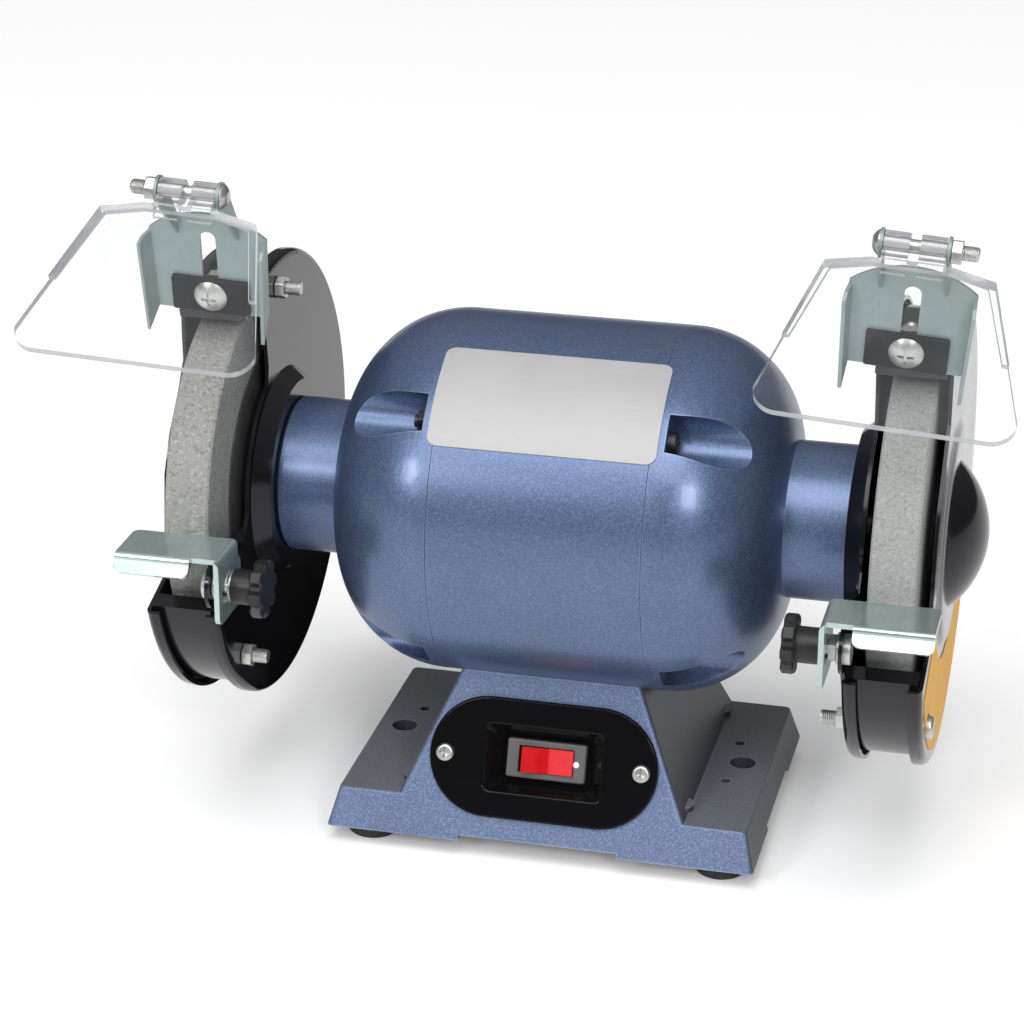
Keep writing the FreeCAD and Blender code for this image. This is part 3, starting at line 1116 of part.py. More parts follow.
kx = ti - 1.2
kr = D("knob_rad")
kb = new_body("knob_star", S(kx - 13.3, sy, szz))
s = on_plane(kb, "YZ_Plane", "knob_star")
n = 8
pp_, aa = [], {}
r1, r0 = vals["knob_rad"], vals["knob_rad"] - 2.3
for i in range(n):
    a = 2 * math.pi * i / n
    for r, da in ((r0, -22.5 + 5.0), (r1, -10.5), (r1, 10.5), (r0, 22.5 - 5.0)):
        q = a + math.radians(da)
        pp_.append((r * math.cos(q), r * math.sin(q)))
loop(s, pp_)
pad(kb, s, 5.0)
star = chamfer("knob_edge", kb, 0.7, lambda e: near(e, x=kx - 13.3) or near(e, x=kx - 8.3))
neck = cyl("knob_neck", 6.8, 8.7, S(kx - 8.7, sy, szz))
knob = cut("knob", fuse("knob_all", [star, neck]), cyl("knob_bore", D("stud_rad") + 0.05, 13.6, S(kx - 11.6, sy, szz)))
both("rest_knob_right", "rest_knob_left", knob)

# ---------------------------------------------------------------- checks and files
doc.recompute()
bad = []
for o in doc.Objects:
    if "Invalid" in o.State or "Error" in o.State:
        bad.append("%s %s" % (o.Name, o.State))
for name, o in nodes:
    if o.Shape.isNull() or not o.Shape.isValid():
        bad.append("shape of " + name)
if bad:
    raise RuntimeError("; ".join(bad))
for name, o in nodes:
    o.Shape.exportStep("parts/%s.step" % name)
print("%d nodes" % len(nodes))
for name, o in nodes:
    bb_ = o.Shape.BoundBox
    print("%-24s solids %2d vol %10.1f  x %7.1f %7.1f  y %7.1f %7.1f  z %7.1f %7.1f" % (
        name, len(o.Shape.Solids), o.Shape.Volume, bb_.XMin, bb_.XMax, bb_.YMin, bb_.YMax, bb_.ZMin, bb_.ZMax))
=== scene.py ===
import bpy, bmesh, json, math
from mathutils import Vector, Matrix


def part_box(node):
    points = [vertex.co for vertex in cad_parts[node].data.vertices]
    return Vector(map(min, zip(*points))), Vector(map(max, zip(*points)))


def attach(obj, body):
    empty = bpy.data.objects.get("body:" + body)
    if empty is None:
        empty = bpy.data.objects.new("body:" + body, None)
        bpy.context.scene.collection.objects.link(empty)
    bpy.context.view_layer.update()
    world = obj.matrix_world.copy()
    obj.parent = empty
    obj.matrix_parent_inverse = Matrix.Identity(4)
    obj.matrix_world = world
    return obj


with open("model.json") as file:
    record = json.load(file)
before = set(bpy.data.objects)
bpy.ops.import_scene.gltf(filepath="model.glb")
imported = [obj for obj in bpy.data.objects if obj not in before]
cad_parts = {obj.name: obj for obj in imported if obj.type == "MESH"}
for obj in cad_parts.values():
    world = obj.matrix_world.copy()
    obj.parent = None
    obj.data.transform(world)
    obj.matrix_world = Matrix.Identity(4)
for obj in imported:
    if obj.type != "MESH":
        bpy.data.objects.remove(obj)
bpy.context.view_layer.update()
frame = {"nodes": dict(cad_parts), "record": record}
nodes = frame["nodes"]
scene = bpy.context.scene
MM = 0.001
AY, AZ = 0.0255, 0.1336          # shaft axis


def S(x, y, z):
    """Point in metres from millimetres counted from the shaft axis."""
    return Vector((x * MM, AY + y * MM, AZ + z * MM))


# ------------------------------------------------------------------ camera
az, el, roll = 0.234261, 0.395274, 0.00356
rt = Vector((math.cos(az), math.sin(az), 0))
fw = Vector((-math.sin(az) * math.cos(el), math.cos(az) * math.cos(el), -math.sin(el)))
up = rt.cross(fw)
rt2 = math.cos(roll) * rt + math.sin(roll) * up
up2 = math.cos(roll) * up - math.sin(roll) * rt
cam_data = bpy.data.cameras.new("camera")
cam_data.sensor_fit = "HORIZONTAL"
cam_data.sensor_width = 36.0
cam_data.lens = 108.49
cam_data.clip_start = 0.05
cam_data.clip_end = 60.0
cam = bpy.data.objects.new("camera", cam_data)
scene.collection.objects.link(cam)
cam.matrix_world = Matrix((
    (rt2.x, up2.x, -fw.x, 0.238954),
    (rt2.y, up2.y, -fw.y, -1.079296),
    (rt2.z, up2.z, -fw.z, 0.598826),
    (0, 0, 0, 1)))
scene.camera = cam

# ------------------------------------------------------------------ node helpers


def new_mat(name):
    m = bpy.data.materials.new(name)
    m.use_nodes = True
    nt = m.node_tree
    nt.nodes.clear()
    out = nt.nodes.new("ShaderNodeOutputMaterial")
    b = nt.nodes.new("ShaderNodeBsdfPrincipled")
    nt.links.new(b.outputs[0], out.inputs[0])
    return m, nt, b


def put(nt, socket, value):
    if isinstance(value, bpy.types.NodeSocket):
        nt.links.new(value, socket)
    else:
        socket.default_value = value


def coords(nt, scale=None, rot=None):
    tc = nt.nodes.new("ShaderNodeTexCoord")
    if scale is None and rot is None:
        return tc.outputs["Object"]
    mp = nt.nodes.new("ShaderNodeMapping")
    nt.links.new(tc.outputs["Object"], mp.inputs["Vector"])
    if scale:
        mp.inputs["Scale"].default_value = scale
    if rot:
        mp.inputs["Rotation"].default_value = rot
    return mp.outputs["Vector"]


def own_normal(nt):
    """Parts of the surface normal in the piece's own frame."""
    tc = nt.nodes.new("ShaderNodeTexCoord")
    sp = nt.nodes.new("ShaderNodeSeparateXYZ")
    nt.links.new(tc.outputs["Normal"], sp.inputs[0])
    return sp.outputs


def own_place(nt):
    tc = nt.nodes.new("ShaderNodeTexCoord")
    sp = nt.nodes.new("ShaderNodeSeparateXYZ")
    nt.links.new(tc.outputs["Object"], sp.inputs[0])
    return sp.outputs


def noise(nt, vec, scale, detail=3.0, rough=0.5, out="Fac", distort=0.0):
    n = nt.nodes.new("ShaderNodeTexNoise")
    n.noise_dimensions = "3D"
    nt.links.new(vec, n.inputs["Vector"])
    n.inputs["Scale"].default_value = scale
    n.inputs["Detail"].default_value = detail
    n.inputs["Roughness"].default_value = rough
    n.inputs["Distortion"].default_value = distort
    return n.outputs[0] if out == "Fac" else n.outputs[1]


def voronoi(nt, vec, scale, feature="F1", out="Distance", smooth=0.6):
    n = nt.nodes.new("ShaderNodeTexVoronoi")
    n.feature = feature
    nt.links.new(vec, n.inputs["Vector"])
    n.inputs["Scale"].default_value = scale
    if feature == "SMOOTH_F1":
        n.inputs["Smoothness"].default_value = smooth
    return n.outputs[out]


def ramp(nt, fac, stops, interp="LINEAR"):
    n = nt.nodes.new("ShaderNodeValToRGB")
    n.color_ramp.interpolation = interp
    while len(n.color_ramp.elements) < len(stops):
        n.color_ramp.elements.new(0.5)
    for e, (pos, c) in zip(n.color_ramp.elements, stops):
        e.position = pos
        e.color = (c[0], c[1], c[2], 1.0) if not isinstance(c, (int, float)) else (c, c, c, 1.0)
    nt.links.new(fac, n.inputs[0])
    return n.outputs[0]


def span(nt, v, a, b, c, d, kind="LINEAR"):
    n = nt.nodes.new("ShaderNodeMapRange")
    n.interpolation_type = kind
    n.clamp = True
    put(nt, n.inputs["Value"], v)
    n.inputs["From Min"].default_value = a
    n.inputs["From Max"].default_value = b
    n.inputs["To Min"].default_value = c
    n.inputs["To Max"].default_value = d
    return n.outputs["Result"]


def calc(nt, op, a, b=0.0):
    n = nt.nodes.new("ShaderNodeMath")
    n.operation = op
    put(nt, n.inputs[0], a)
    put(nt, n.inputs[1], b)
    return n.outputs[0]


def mix(nt, fac, a, b, kind="MIX"):
    n = nt.nodes.new("ShaderNodeMix")
    n.data_type = "RGBA"
    n.blend_type = kind
    put(nt, n.inputs[0], fac)
    for i, v in ((6, a), (7, b)):
        if isinstance(v, bpy.types.NodeSocket):
            nt.links.new(v, n.inputs[i])
        else:
            n.inputs[i].default_value = (v[0], v[1], v[2], 1.0)
    return n.outputs[2]


def bump(nt, height, strength, dist, under=None):
    n = nt.nodes.new("ShaderNodeBump")
    n.inputs["Strength"].default_value = strength
    n.inputs["Distance"].default_value = dist
    nt.links.new(height, n.inputs["Height"])
    if under is not None:
        nt.links.new(under, n.inputs["Normal"])
    return n.outputs[0]


def edge_mask(nt, radius):
    """1 on sharp edges, 0 on flats."""
    bv = nt.nodes.new("ShaderNodeBevel")
    bv.samples = 4
    bv.inputs["Radius"].default_value = radius
    ge = nt.nodes.new("ShaderNodeNewGeometry")
    d = nt.nodes.new("ShaderNodeVectorMath")
    d.operation = "DOT_PRODUCT"
    nt.links.new(bv.outputs[0], d.inputs[0])
    nt.links.new(ge.outputs["Normal"], d.inputs[1])
    return span(nt, d.outputs["Value"], 0.995, 0.80, 0.0, 1.0)


def setp(b, **kw):
    names = {"metal": "Metallic", "rough": "Roughness", "ior": "IOR", "coat": "Coat Weight", "coat_rough": "Coat Roughness",
             "spec": "Specular IOR Level", "trans": "Transmission Weight", "sheen": "Sheen Weight", "aniso": "Anisotropic"}
    for k, v in kw.items():
        b.inputs[names[k]].default_value = v


# ------------------------------------------------------------------ materials
MATS = {}


def hammer(name, dark, mid, light, cell, metal, r0, r1, coat, height, contrast, edge_colour, shaded_faces=None):
    """Fine hammered paint: small cells, finer grain, a slow drift in tone, paler along the edges."""
    m, nt, b = new_mat(name)
    v = coords(nt)
    cells = voronoi(nt, v, 1.0 / cell, "SMOOTH_F1", smooth=0.5)
    fine = noise(nt, v, 1.0 / (0.45 * cell), 2.0, 0.6)
    wide = noise(nt, v, 24.0, 2.0, 0.5)
    k = calc(nt, "ADD", cells, calc(nt, "MULTIPLY", calc(nt, "SUBTRACT", fine, 0.5), contrast))
    k = calc(nt, "ADD", k, calc(nt, "MULTIPLY", calc(nt, "SUBTRACT", wide, 0.5), 0.25))
    col = ramp(nt, k, [(0.10, dark), (0.42, mid), (0.82, light)])
    if shaded_faces is not None:
        # painted shade: only the front and back keep the full tone; the tops, the flanks and the hole walls take darker
        # copies of the paint, and the outer flanks lighter copies where the light falls on them
        px, py, pz = own_place(nt)[:3]
        nx, ny, nz = own_normal(nt)[:3]
        off = calc(nt, "SUBTRACT", py, calc(nt, "ADD", calc(nt, "MULTIPLY", pz, 0.37), -0.03765))
        front = calc(nt, "MULTIPLY", span(nt, off, 0.0022, 0.0042, 1.0, 0.0), span(nt, ny, -0.45, -0.70, 0.0, 1.0))
        rear = calc(nt, "MULTIPLY", span(nt, py, 0.060, 0.064, 0.0, 1.0), span(nt, ny, 0.45, 0.70, 0.0, 1.0))
        shade = span(nt, k, 0.2, 0.8, 0.0, 1.0)
        shaded_top = mix(nt, shade, shaded_faces[2], shaded_faces[3])
        lit_outer_flank = calc(nt, "MULTIPLY", span(nt, calc(nt, "ABSOLUTE", px), 0.0895, 0.0915, 0.0, 1.0), span(nt, calc(nt, "ABSOLUTE", nx), 0.5, 0.8, 0.0, 1.0))
        shaded_flank = mix(nt, lit_outer_flank, mix(nt, shade, shaded_faces[0], shaded_faces[1]), mix(nt, shade, shaded_faces[4], shaded_faces[5]))
        rest = mix(nt, span(nt, nz, 0.55, 0.92, 0.0, 1.0), shaded_flank, shaded_top)
        col = mix(nt, calc(nt, "MAXIMUM", front, rear), rest, col)
    # paler along the sharp edges, patchy along their length
    edge_amount = calc(nt, "MULTIPLY", edge_mask(nt, 0.0011), span(nt, wide, 0.35, 0.65, 0.25, 0.75))
    col = mix(nt, edge_amount, col, edge_colour)
    nt.links.new(col, b.inputs["Base Color"])
    nt.links.new(span(nt, k, 0.1, 0.8, r0, r1), b.inputs["Roughness"])
    nt.links.new(bump(nt, calc(nt, "ADD", cells, calc(nt, "MULTIPLY", fine, 0.25)), height, 0.0003), b.inputs["Normal"])
    setp(b, metal=metal, coat=coat, coat_rough=0.18)
    MATS[name] = m
    return m


hammer("motor_paint", (0.056, 0.084, 0.160), (0.086, 0.126, 0.232), (0.120, 0.166, 0.290), 0.0007, 0.62, 0.30, 0.40, 0.25, 0.06, 0.25, (0.26, 0.30, 0.38))
# the last six colours are painted shade and light: darker flanks and hole walls, darker tops, lighter outer flanks
hammer("base_paint", (0.064, 0.096, 0.180), (0.100, 0.140, 0.250), (0.165, 0.212, 0.335), 0.0007, 0.22, 0.42, 0.56, 0.08, 0.16, 0.60, (0.34, 0.38, 0.46),
       ((0.045, 0.048, 0.060), (0.072, 0.077, 0.094), (0.124, 0.128, 0.150), (0.190, 0.194, 0.224), (0.110, 0.118, 0.140), (0.160, 0.170, 0.200)))


def gloss_black(name, col, r0, r1, coat, peel, worn, spec=0.5, tint=(1.0, 1.0, 1.0)):
    """Black finish with a slow drift in tone, a fine skin, faint dust and greyer edges."""
    m, nt, b = new_mat(name)
    v = coords(nt)
    n1 = noise(nt, v, 34.0, 4.0, 0.6)
    n2 = noise(nt, v, 420.0, 2.0, 0.5)
    base = mix(nt, n1, col, tuple(c * 1.7 + 0.001 for c in col))
    edge_amount = calc(nt, "MULTIPLY", edge_mask(nt, 0.0006), span(nt, n1, 0.40, 0.65, 0.1, 0.9))
    nt.links.new(mix(nt, edge_amount, base, (worn, worn, worn * 1.03)), b.inputs["Base Color"])
    nt.links.new(span(nt, n1, 0.3, 0.75, r0, r1), b.inputs["Roughness"])
    nt.links.new(bump(nt, n2, peel, 0.0003), b.inputs["Normal"])
    setp(b, coat=coat, coat_rough=0.08, ior=1.5, spec=spec)
    b.inputs["Specular Tint"].default_value = (tint[0], tint[1], tint[2], 1.0)
    MATS[name] = m
    return m


gloss_black("guard_black", (0.0046, 0.0044, 0.0054), 0.10, 0.18, 0.0, 0.025, 0.04, 0.36, (0.93, 0.90, 1.0))
gloss_black("arrester_black", (0.0056, 0.0056, 0.0064), 0.32, 0.44, 0.0, 0.08, 0.06, 0.07)
gloss_black("plate_black", (0.0026, 0.0026, 0.0030), 0.12, 0.20, 0.0, 0.05, 0.03, 0.12)
gloss_black("switch_black", (0.0680, 0.0690, 0.0705), 0.40, 0.54, 0.0, 0.10, 0.13)
gloss_black("knob_black", (0.0095, 0.0095, 0.0102), 0.34, 0.48, 0.0, 0.12, 0.05, 0.36)
gloss_black("dark_sheet", (0.0200, 0.0200, 0.0220), 0.40, 0.55, 0.0, 0.08, 0.10)
gloss_black("rubber", (0.0120, 0.0120, 0.0120), 0.62, 0.80, 0.0, 0.20, 0.04)


def metal(name, a, c, r0, r1, stretch=(1, 1, 1), grain=600.0, height=0.05, metalness=1.0, tint=None):
    m, nt, b = new_mat(name)
    v = coords(nt)
    cloud = noise(nt, v, 60.0, 4.0, 0.6)
    lines = noise(nt, coords(nt, stretch), grain, 3.0, 0.6)
    k = calc(nt, "ADD", calc(nt, "MULTIPLY", cloud, 0.65), calc(nt, "MULTIPLY", lines, 0.35))
    col = mix(nt, span(nt, k, 0.32, 0.68, 0.0, 1.0), a, c)
    if tint:
        col = mix(nt, span(nt, noise(nt, v, 22.0, 2.0, 0.5), 0.50, 0.72, 0.0, 0.55), col, tint)
    nt.links.new(col, b.inputs["Base Color"])
    nt.links.new(span(nt, k, 0.3, 0.7, r0, r1), b.inputs["Roughness"])
    nt.links.new(bump(nt, lines, height, 0.0002), b.inputs["Normal"])
    setp(b, metal=metalness)
    MATS[name] = m
    return m


metal("zinc_sheet", (0.206, 0.264, 0.268), (0.264, 0.328, 0.328), 0.36, 0.50, (1.0, 1.0, 0.18), 700.0, 0.05, 0.30, (0.285, 0.320, 0.300))
metal("rest_zinc", (0.350, 0.436, 0.430), (0.468, 0.556, 0.542), 0.11, 0.22, (1.0, 0.25, 1.0), 520.0, 0.03, 0.66, (0.47, 0.50, 0.47))
metal("zinc", (0.400, 0.410, 0.400), (0.620, 0.625, 0.605), 0.30, 0.46, (1, 1, 1), 900.0, 0.06, 0.95, (0.52, 0.50, 0.43))
metal("dark_steel", (0.030, 0.030, 0.033), (0.075, 0.075, 0.080), 0.35, 0.55, (1, 1, 1), 800.0, 0.10, 0.85)
metal("bearing_steel", (0.560, 0.560, 0.575), (0.740, 0.740, 0.750), 0.16, 0.30, (0.1, 1, 1), 1400.0, 0.04, 1.0)
metal("core_steel", (0.180, 0.180, 0.185), (0.330, 0.330, 0.335), 0.42, 0.60, (12.0, 0.4, 0.4), 260.0, 0.35, 0.9)
metal("copper", (0.420, 0.160, 0.060), (0.700, 0.330, 0.150), 0.28, 0.42, (0.25, 1, 1), 520.0, 0.45, 0.9)
metal("cap_can", (0.600, 0.605, 0.615), (0.780, 0.785, 0.790), 0.28, 0.42, (0.15, 1, 1), 800.0, 0.05, 1.0)
metal("label_plate", (0.372, 0.370, 0.374), (0.408, 0.406, 0.410), 0.36, 0.46, (0.12, 1, 1), 520.0, 0.02, 0.05)


def abrasive(name, dark, mid, light, grit, height):
    m, nt, b = new_mat(name)
    v = coords(nt)
    tone = voronoi(nt, v, 1.0 / grit, "F1", "Color")
    sp = nt.nodes.new("ShaderNodeSeparateColor")
    nt.links.new(tone, sp.inputs[0])
    dist = voronoi(nt, v, 1.0 / grit, "F1")
    fine = noise(nt, v, 1.0 / (0.4 * grit), 3.0, 0.65)
    wide = noise(nt, v, 45.0, 3.0, 0.5)
    k = calc(nt, "ADD", calc(nt, "MULTIPLY", sp.outputs[0], 0.62), calc(nt, "MULTIPLY", fine, 0.38))
    k = calc(nt, "ADD", k, calc(nt, "MULTIPLY", calc(nt, "SUBTRACT", wide, 0.5), 0.30))
    nt.links.new(ramp(nt, k, [(0.16, dark), (0.38, mid), (0.66, mid), (0.92, light)]), b.inputs["Base Color"])
    nt.links.new(span(nt, fine, 0.3, 0.7, 0.72, 0.96), b.inputs["Roughness"])
    nt.links.new(bump(nt, calc(nt, "SUBTRACT", calc(nt, "MULTIPLY", fine, 0.8), dist), height, 0.0006), b.inputs["Normal"])
    setp(b, spec=0.35)
    MATS[name] = m
    return m


abrasive("abrasive_coarse", (0.180, 0.180, 0.171), (0.288, 0.289, 0.274), (0.430, 0.430, 0.408), 0.00090, 0.46)
abrasive("abrasive_fine", (0.206, 0.212, 0.207), (0.302, 0.309, 0.302), (0.410, 0.419, 0.410), 0.00060, 0.38)


def plain(name, a, c, r0, r1, scale, coat=0.0, height=0.04, spec=0.5):
    m, nt, b = new_mat(name)
    v = coords(nt)
    n1 = noise(nt, v, scale, 4.0, 0.55)
    n2 = noise(nt, v, 900.0, 2.0, 0.5)
    nt.links.new(mix(nt, span(nt, n1, 0.3, 0.7, 0.0, 1.0), a, c), b.inputs["Base Color"])
    nt.links.new(span(nt, n1, 0.3, 0.7, r0, r1), b.inputs["Roughness"])
    nt.links.new(bump(nt, n2, height, 0.0002), b.inputs["Normal"])
    setp(b, coat=coat, coat_rough=0.1, spec=spec)
    MATS[name] = m
    return m


plain("patch_yellow", (0.740, 0.385, 0.050), (0.810, 0.450, 0.072), 0.55, 0.66, 40.0, 0.0, 0.03, 0.18)
plain("blotter", (0.034, 0.034, 0.036), (0.060, 0.059, 0.061), 0.80, 0.92, 120.0, 0.0, 0.25)

# rocker: moulded red, the raised half painted paler as a painted highlight where the light falls on it
m, nt, b = new_mat("rocker_red")
v = coords(nt)
n1 = noise(nt, v, 150.0, 4.0, 0.55)
lo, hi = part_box("switch_rocker")
half = 0.5 * (lo[0] + hi[0])
# painted highlight: the raised right half takes a paler red
right = span(nt, own_place(nt)[0], half + 0.0002, half + 0.0012, 0.0, 1.0)
k = span(nt, n1, 0.3, 0.7, 0.0, 1.0)
nt.links.new(mix(nt, right, mix(nt, k, (0.450, 0.003, 0.005), (0.520, 0.005, 0.008)), mix(nt, k, (0.600, 0.028, 0.038), (0.690, 0.040, 0.050))), b.inputs["Base Color"])
nt.links.new(span(nt, n1, 0.3, 0.7, 0.18, 0.28), b.inputs["Roughness"])
nt.links.new(bump(nt, noise(nt, v, 900.0, 2.0, 0.5), 0.02, 0.0002), b.inputs["Normal"])
setp(b, spec=0.30)
MATS["rocker_red"] = m
plain("print_white", (0.700, 0.720, 0.730), (0.800, 0.810, 0.815), 0.30, 0.45, 400.0, 0.0, 0.05)

# clear plastic: the broad faces are all but invisible, cut edges, ribs and hinge eyes carry the colour
m, nt, b = new_mat("clear_shield")
v = coords(nt)
haze = noise(nt, v, 55.0, 4.0, 0.6)
scuff = noise(nt, coords(nt, (1.0, 9.0, 9.0)), 420.0, 3.0, 0.6)
tc = nt.nodes.new("ShaderNodeTexCoord")
flat = nt.nodes.new("ShaderNodeVectorMath")
flat.operation = "DOT_PRODUCT"
nt.links.new(tc.outputs["Normal"], flat.inputs[0])
flat.inputs[1].default_value = (0.0, -0.528, 0.849)
broad = span(nt, calc(nt, "ABSOLUTE", flat.outputs["Value"]), 0.955, 0.985, 0.0, 1.0)
lw = nt.nodes.new("ShaderNodeLayerWeight")
lw.inputs["Blend"].default_value = 0.25
seen = span(nt, lw.outputs["Fresnel"], 0.06, 0.9, 0.05, 0.55)
marks = span(nt, calc(nt, "MULTIPLY", haze, scuff), 0.28, 0.50, 0.0, 0.06)
wall = span(nt, haze, 0.3, 0.7, 0.76, 0.90)
clear = calc(nt, "ADD", seen, marks)
show = nt.nodes.new("ShaderNodeMix")
show.data_type = "FLOAT"
nt.links.new(broad, show.inputs[0])
nt.links.new(wall, show.inputs[2])
nt.links.new(clear, show.inputs[3])
nt.links.new(show.outputs[0], b.inputs["Alpha"])
nt.links.new(mix(nt, haze, (0.42, 0.430, 0.450), (0.54, 0.550, 0.570)), b.inputs["Base Color"])
nt.links.new(span(nt, calc(nt, "MULTIPLY", haze, scuff), 0.20, 0.50, 0.04, 0.14), b.inputs["Roughness"])
setp(b, trans=0.30, ior=1.49)
MATS["clear_shield"] = m

SLOT = {s["node"]: s["material_slot"] for s in frame["record"]["subparts"]}
for name, o in nodes.items():
    o.data.materials.clear()
    o.data.materials.append(MATS["rest_zinc" if name.startswith("tool_rest") else SLOT[name]])


# ------------------------------------------------------------------ soft edges on the carried-over solids
def shade_group(angle):
    g = bpy.data.node_groups.new("shade_%d" % angle, "GeometryNodeTree")
    g.interface.new_socket("Geometry", in_out="INPUT", socket_type="NodeSocketGeometry")
    g.interface.new_socket("Geometry", in_out="OUTPUT", socket_type="NodeSocketGeometry")
    i = g.nodes.new("NodeGroupInput")
    o = g.nodes.new("NodeGroupOutput")
    rm = g.nodes.new("GeometryNodeRemoveAttribute")
    rm.inputs["Name"].default_value = "custom_normal"
    face = g.nodes.new("GeometryNodeSetShadeSmooth")
    face.domain = "FACE"
    edge = g.nodes.new("GeometryNodeSetShadeSmooth")
    edge.domain = "EDGE"
    an = g.nodes.new("GeometryNodeInputMeshEdgeAngle")
    cmp_ = g.nodes.new("FunctionNodeCompare")
    cmp_.data_type = "FLOAT"
    cmp_.operation = "LESS_EQUAL"
    g.links.new(an.outputs["Unsigned Angle"], cmp_.inputs[0])
    cmp_.inputs[1].default_value = math.radians(angle)
    g.links.new(i.outputs[0], rm.inputs["Geometry"])
    g.links.new(rm.outputs["Geometry"], face.inputs["Geometry"])
    face.inputs["Shade Smooth"].default_value = True
    g.links.new(face.outputs[0], edge.inputs["Geometry"])
    g.links.new(cmp_.outputs[0], edge.inputs["Shade Smooth"])
    g.links.new(edge.outputs[0], o.inputs[0])
    return g


SHADE = shade_group(32)
BEVEL = {
    "base_casting": 0.9, "shield_bracket": 0.35, "tool_rest": 0.5, "guard_right": 0.3, "guard_left": 0.3, "guard_cover": 0.3,
    "switch_plate": 0.7, "switch_housing": 0.4, "switch_rocker": 0.35, "rest_knob": 0.6, "spindle_nut": 0.4, "cover_nuts": 0.4,
    "hinge_nut": 0.4, "stud_nuts": 0.4, "arrester_nuts": 0.4, "tie_bolt_nuts": 0.4, "spark_arrester": 0.3, "rest_washers": 0.25,
    "nameplate": 0.12, "rest_studs": 0.4, "cover_screws": 0.15, "foot_screws": 0.3, "end_bell": 0.6,
    "bottom_cover": 0.3, "capacitor_clip": 0.3, "cable_gland": 0.5, "hinge_bolt": 0.15,
}
for name, o in nodes.items():
    w = o.modifiers.new("weld", "WELD")
    w.merge_threshold = 2e-6
    for key, width in BEVEL.items():
        if name.startswith(key):
            bv = o.modifiers.new("edge", "BEVEL")
            bv.width = width * MM
            bv.segments = 3
            bv.limit_method = "ANGLE"
            bv.angle_limit = math.radians(38)
            bv.use_clamp_overlap = True
            bv.miter_outer = "MITER_ARC"
            break
    sm = o.modifiers.new("shade", "NODES")
    sm.node_group = SHADE
    if "edge" in o.modifiers:
        wn = o.modifiers.new("even", "WEIGHTED_NORMAL")
        wn.mode = "FACE_AREA_WITH_ANGLE"
        if name.startswith("guard"):
            wn.weight = 100
        wn.keep_sharp = True


# ------------------------------------------------------------------ added pieces
def add_mesh(name, verts, faces, mat, body, smooth=True):
    me = bpy.data.meshes.new(name)
    me.from_pydata([tuple(v) for v in verts], [], faces)
    me.validate()
    me.update()
    o = bpy.data.objects.new(name, me)
    scene.collection.objects.link(o)
    me.materials.append(MATS[mat])
    if smooth:
        for p in me.polygons:
            p.use_smooth = True
    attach(o, body)
    return o


def thread(name, start, axis, length, r, pitch, mat, body, left=False):
    """Helical thread round a shank: a closed sleeve with its ends run out."""
    ax = axis.normalized()
    u = ax.orthogonal().normalized()
    w = ax.cross(u)
    nt_, seg = 28, max(12, int(length / pitch * 8))
    rings = []
    for i in range(seg + 1):
        x = length * i / seg
        fade = min(1.0, x / (0.6 * pitch), (length - x) / (0.6 * pitch))
        row = []
        for j in range(nt_):
            t = 2 * math.pi * j / nt_
            ph = (x / pitch + (t if left else -t) / (2 * math.pi)) % 1.0
            tri = 1.0 - abs(2 * ph - 1.0)
            rr = r + (0.02 + 0.26 * max(0.0, min(1.0, tri * 1.5 - 0.25)) * max(0.0, fade)) * MM
            row.append(start + ax * x + u * (rr * math.cos(t)) + w * (rr * math.sin(t)))
        rings.append(row)
    verts = [p for row in rings for p in row]
    inner0 = len(verts)
    for row_x in (0.0, length):
        for j in range(nt_):
            t = 2 * math.pi * j / nt_
            verts.append(start + ax * row_x + u * ((r - 0.0002) * math.cos(t)) + w * ((r - 0.0002) * math.sin(t)))
    faces = []
    for i in range(seg):
        for j in range(nt_):
            k = (j + 1) % nt_
            faces.append((i * nt_ + j, i * nt_ + k, (i + 1) * nt_ + k, (i + 1) * nt_ + j))
    last = seg * nt_
    for j in range(nt_):
        k = (j + 1) % nt_
        faces.append((j, inner0 + j, inner0 + k, k))
        faces.append((last + j, last + k, inner0 + nt_ + k, inner0 + nt_ + j))
        faces.append((inner0 + j, inner0 + nt_ + j, inner0 + nt_ + k, inner0 + k))
    return add_mesh(name, verts, faces, mat, body)


def clamp(side):
    """Arrester screw point and the lean and turn of what it clamps."""
    turn = math.radians(4.2 if side > 0 else 2.9)
    return S(side * 132.7, -41.0, 88.3), Matrix.Rotation(math.radians(15.0), 3, "X") @ Matrix.Rotation(turn, 3, "Y")


def ring(pitch, deg):
    return -pitch * math.cos(math.radians(deg)), pitch * math.sin(math.radians(deg))


for side, word in ((1, "right"), (-1, "left")):
    for i, (pitch, deg) in enumerate(((79.0, 88.0), (80.0, -44.0), (80.0, 200.0))):
        y, z = ring(pitch, deg)
        thread("cover_thread_%s_%d" % (word, i + 1), S(side * 109.9, y, z), Vector((side, 0, 0)), 5.4 * MM, 2.5 * MM, 0.8 * MM, "zinc", "frame", side < 0)
    c, r = clamp(side)
    thread("hinge_thread_" + word, c + r @ Vector((side * 16.65 * MM, -16.5 * MM, 54.6 * MM)), r @ Vector((side, 0, 0)), 5.1 * MM, 2.5 * MM, 0.8 * MM,
           "zinc", "bracket_" + word)
    thread("arrester_thread_" + word, c + r @ Vector((0, 7.8 * MM, 0)), r @ Vector((0, 1, 0)), 5.2 * MM, 2.9 * MM, 1.0 * MM, "zinc", "frame")

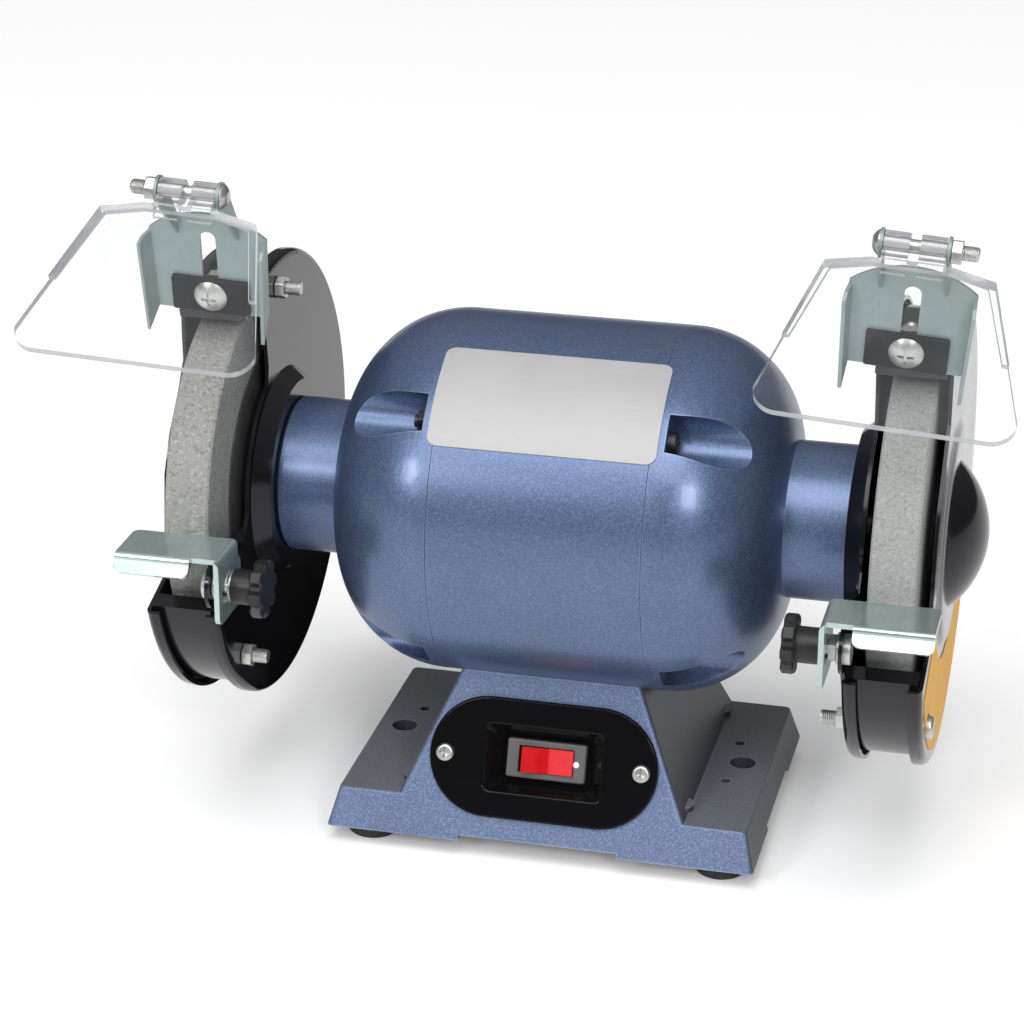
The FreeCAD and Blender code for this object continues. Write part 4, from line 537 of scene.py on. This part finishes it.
# small pale dot on the switch frame, beside the rocker
NV = Vector((0, -0.937862, 0.347009))
VV = Vector((0, 0.347009, 0.937862))
O = Vector((0, -0.022776, 0.040200))
mid = O + Vector((12.2 * MM, 0, 0)) + VV * (-0.3 * MM) + NV * (-4.40 * MM)
verts, faces, n = [], [], 24
for rad, lift in ((1.30, 0.0), (1.30, 0.16), (1.15, 0.30), (0.80, 0.40), (0.40, 0.45)):
    for j in range(n):
        t = 2 * math.pi * j / n
        verts.append(mid + Vector((rad * math.cos(t) * MM, 0, 0)) + VV * (rad * math.sin(t) * MM) + NV * (lift * MM))
for i in range(4):
    for j in range(n):
        k = (j + 1) % n
        faces.append((i * n + j, i * n + k, (i + 1) * n + k, (i + 1) * n + j))
faces.append(tuple(4 * n + j for j in range(n)))
faces.append(tuple(reversed(range(n))))
add_mesh("switch_dot", verts, faces, "print_white", "frame")

# ------------------------------------------------------------------ light, floor
world = bpy.data.worlds.new("studio")
scene.world = world
world.use_nodes = True
wt = world.node_tree
wt.nodes.clear()
wo = wt.nodes.new("ShaderNodeOutputWorld")
bg = wt.nodes.new("ShaderNodeBackground")
tc = wt.nodes.new("ShaderNodeTexCoord")
sp = wt.nodes.new("ShaderNodeSeparateXYZ")
wt.links.new(tc.outputs["Generated"], sp.inputs[0])
rise = ramp(wt, span(wt, sp.outputs[2], -0.2, 1.0, 0.0, 1.0), [(0.0, 0.06), (0.17, 0.07), (0.40, 0.15), (0.70, 0.34), (1.0, 0.68)])
wt.links.new(rise, bg.inputs["Color"])
bg.inputs["Strength"].default_value = 1.0
wt.links.new(bg.outputs[0], wo.inputs[0])


def area(name, azim, elev, dist, size, watts, target=(0, 0, 0.13), shape="SQUARE"):
    d = bpy.data.lights.new(name, "AREA")
    d.shape = shape
    d.size = size
    d.energy = watts
    o = bpy.data.objects.new(name, d)
    scene.collection.objects.link(o)
    a, e = math.radians(azim), math.radians(elev)
    t = Vector(target)
    back = Vector((math.sin(a) * math.cos(e), -math.cos(a) * math.cos(e), math.sin(e)))
    o.location = t + back * dist
    o.rotation_mode = "QUATERNION"
    o.rotation_quaternion = (-back).to_track_quat("-Z", "Y")
    return o


area("key_left", -28.5, 27.7, 3.2, 0.78, 29.0, shape="DISK")
area("key_right", 30.7, 28.1, 3.2, 0.78, 29.0, shape="DISK")
over = bpy.data.lights.new("overhead", "SUN")
over.energy = 1.80
over.angle = math.radians(42.0)
over_o = bpy.data.objects.new("overhead", over)
scene.collection.objects.link(over_o)
over_o.location = (0, -0.3, 2.1)
over_o.rotation_mode = "QUATERNION"
over_o.rotation_quaternion = Vector((0, math.cos(math.radians(60.0)), -math.sin(math.radians(60.0)))).to_track_quat("-Z", "Y")

fm, ft, fb = new_mat("floor")
fv = coords(ft)
fn = noise(ft, fv, 3.0, 3.0, 0.5)
ft.links.new(mix(ft, fn, (0.935, 0.935, 0.938), (0.955, 0.955, 0.957)), fb.inputs["Base Color"])
setp(fb, rough=0.32, spec=0.25)
fb.inputs["Emission Color"].default_value = (1.0, 1.0, 1.0, 1.0)
fb.inputs["Emission Strength"].default_value = 0.14
me = bpy.data.meshes.new("floor")
me.from_pydata([(-9, -9, 0), (9, -9, 0), (9, 9, 0), (-9, 9, 0)], [], [(0, 1, 2, 3)])
floor = bpy.data.objects.new("floor", me)
scene.collection.objects.link(floor)
me.materials.append(fm)

# painted shadow: a dark card lying behind the machine stands in for the shade on the floor there; only reflections see
# it
cm, ct, cb = new_mat("painted_shadow_card")
ct.links.new(mix(ct, noise(ct, coords(ct), 40.0, 3.0, 0.5), (0.004, 0.004, 0.004), (0.008, 0.008, 0.008)), cb.inputs["Base Color"])
setp(cb, rough=0.9, spec=0.05)
me = bpy.data.meshes.new("painted_shadow_card")
me.from_pydata([(-0.125, 0.04, 0.0006), (0.03, 0.04, 0.0006), (0.03, 0.27, 0.0006), (-0.125, 0.27, 0.0006)], [], [(0, 1, 2, 3)])
painted_shadow_card = bpy.data.objects.new("painted_shadow_card", me)
scene.collection.objects.link(painted_shadow_card)
me.materials.append(cm)
painted_shadow_card.visible_camera = False
painted_shadow_card.visible_diffuse = False
painted_shadow_card.visible_shadow = False
painted_shadow_card.visible_transmission = False

scene.view_settings.view_transform = "Standard"
scene.view_settings.look = "None"
scene.view_settings.exposure = 0.0
scene.view_settings.gamma = 1.0
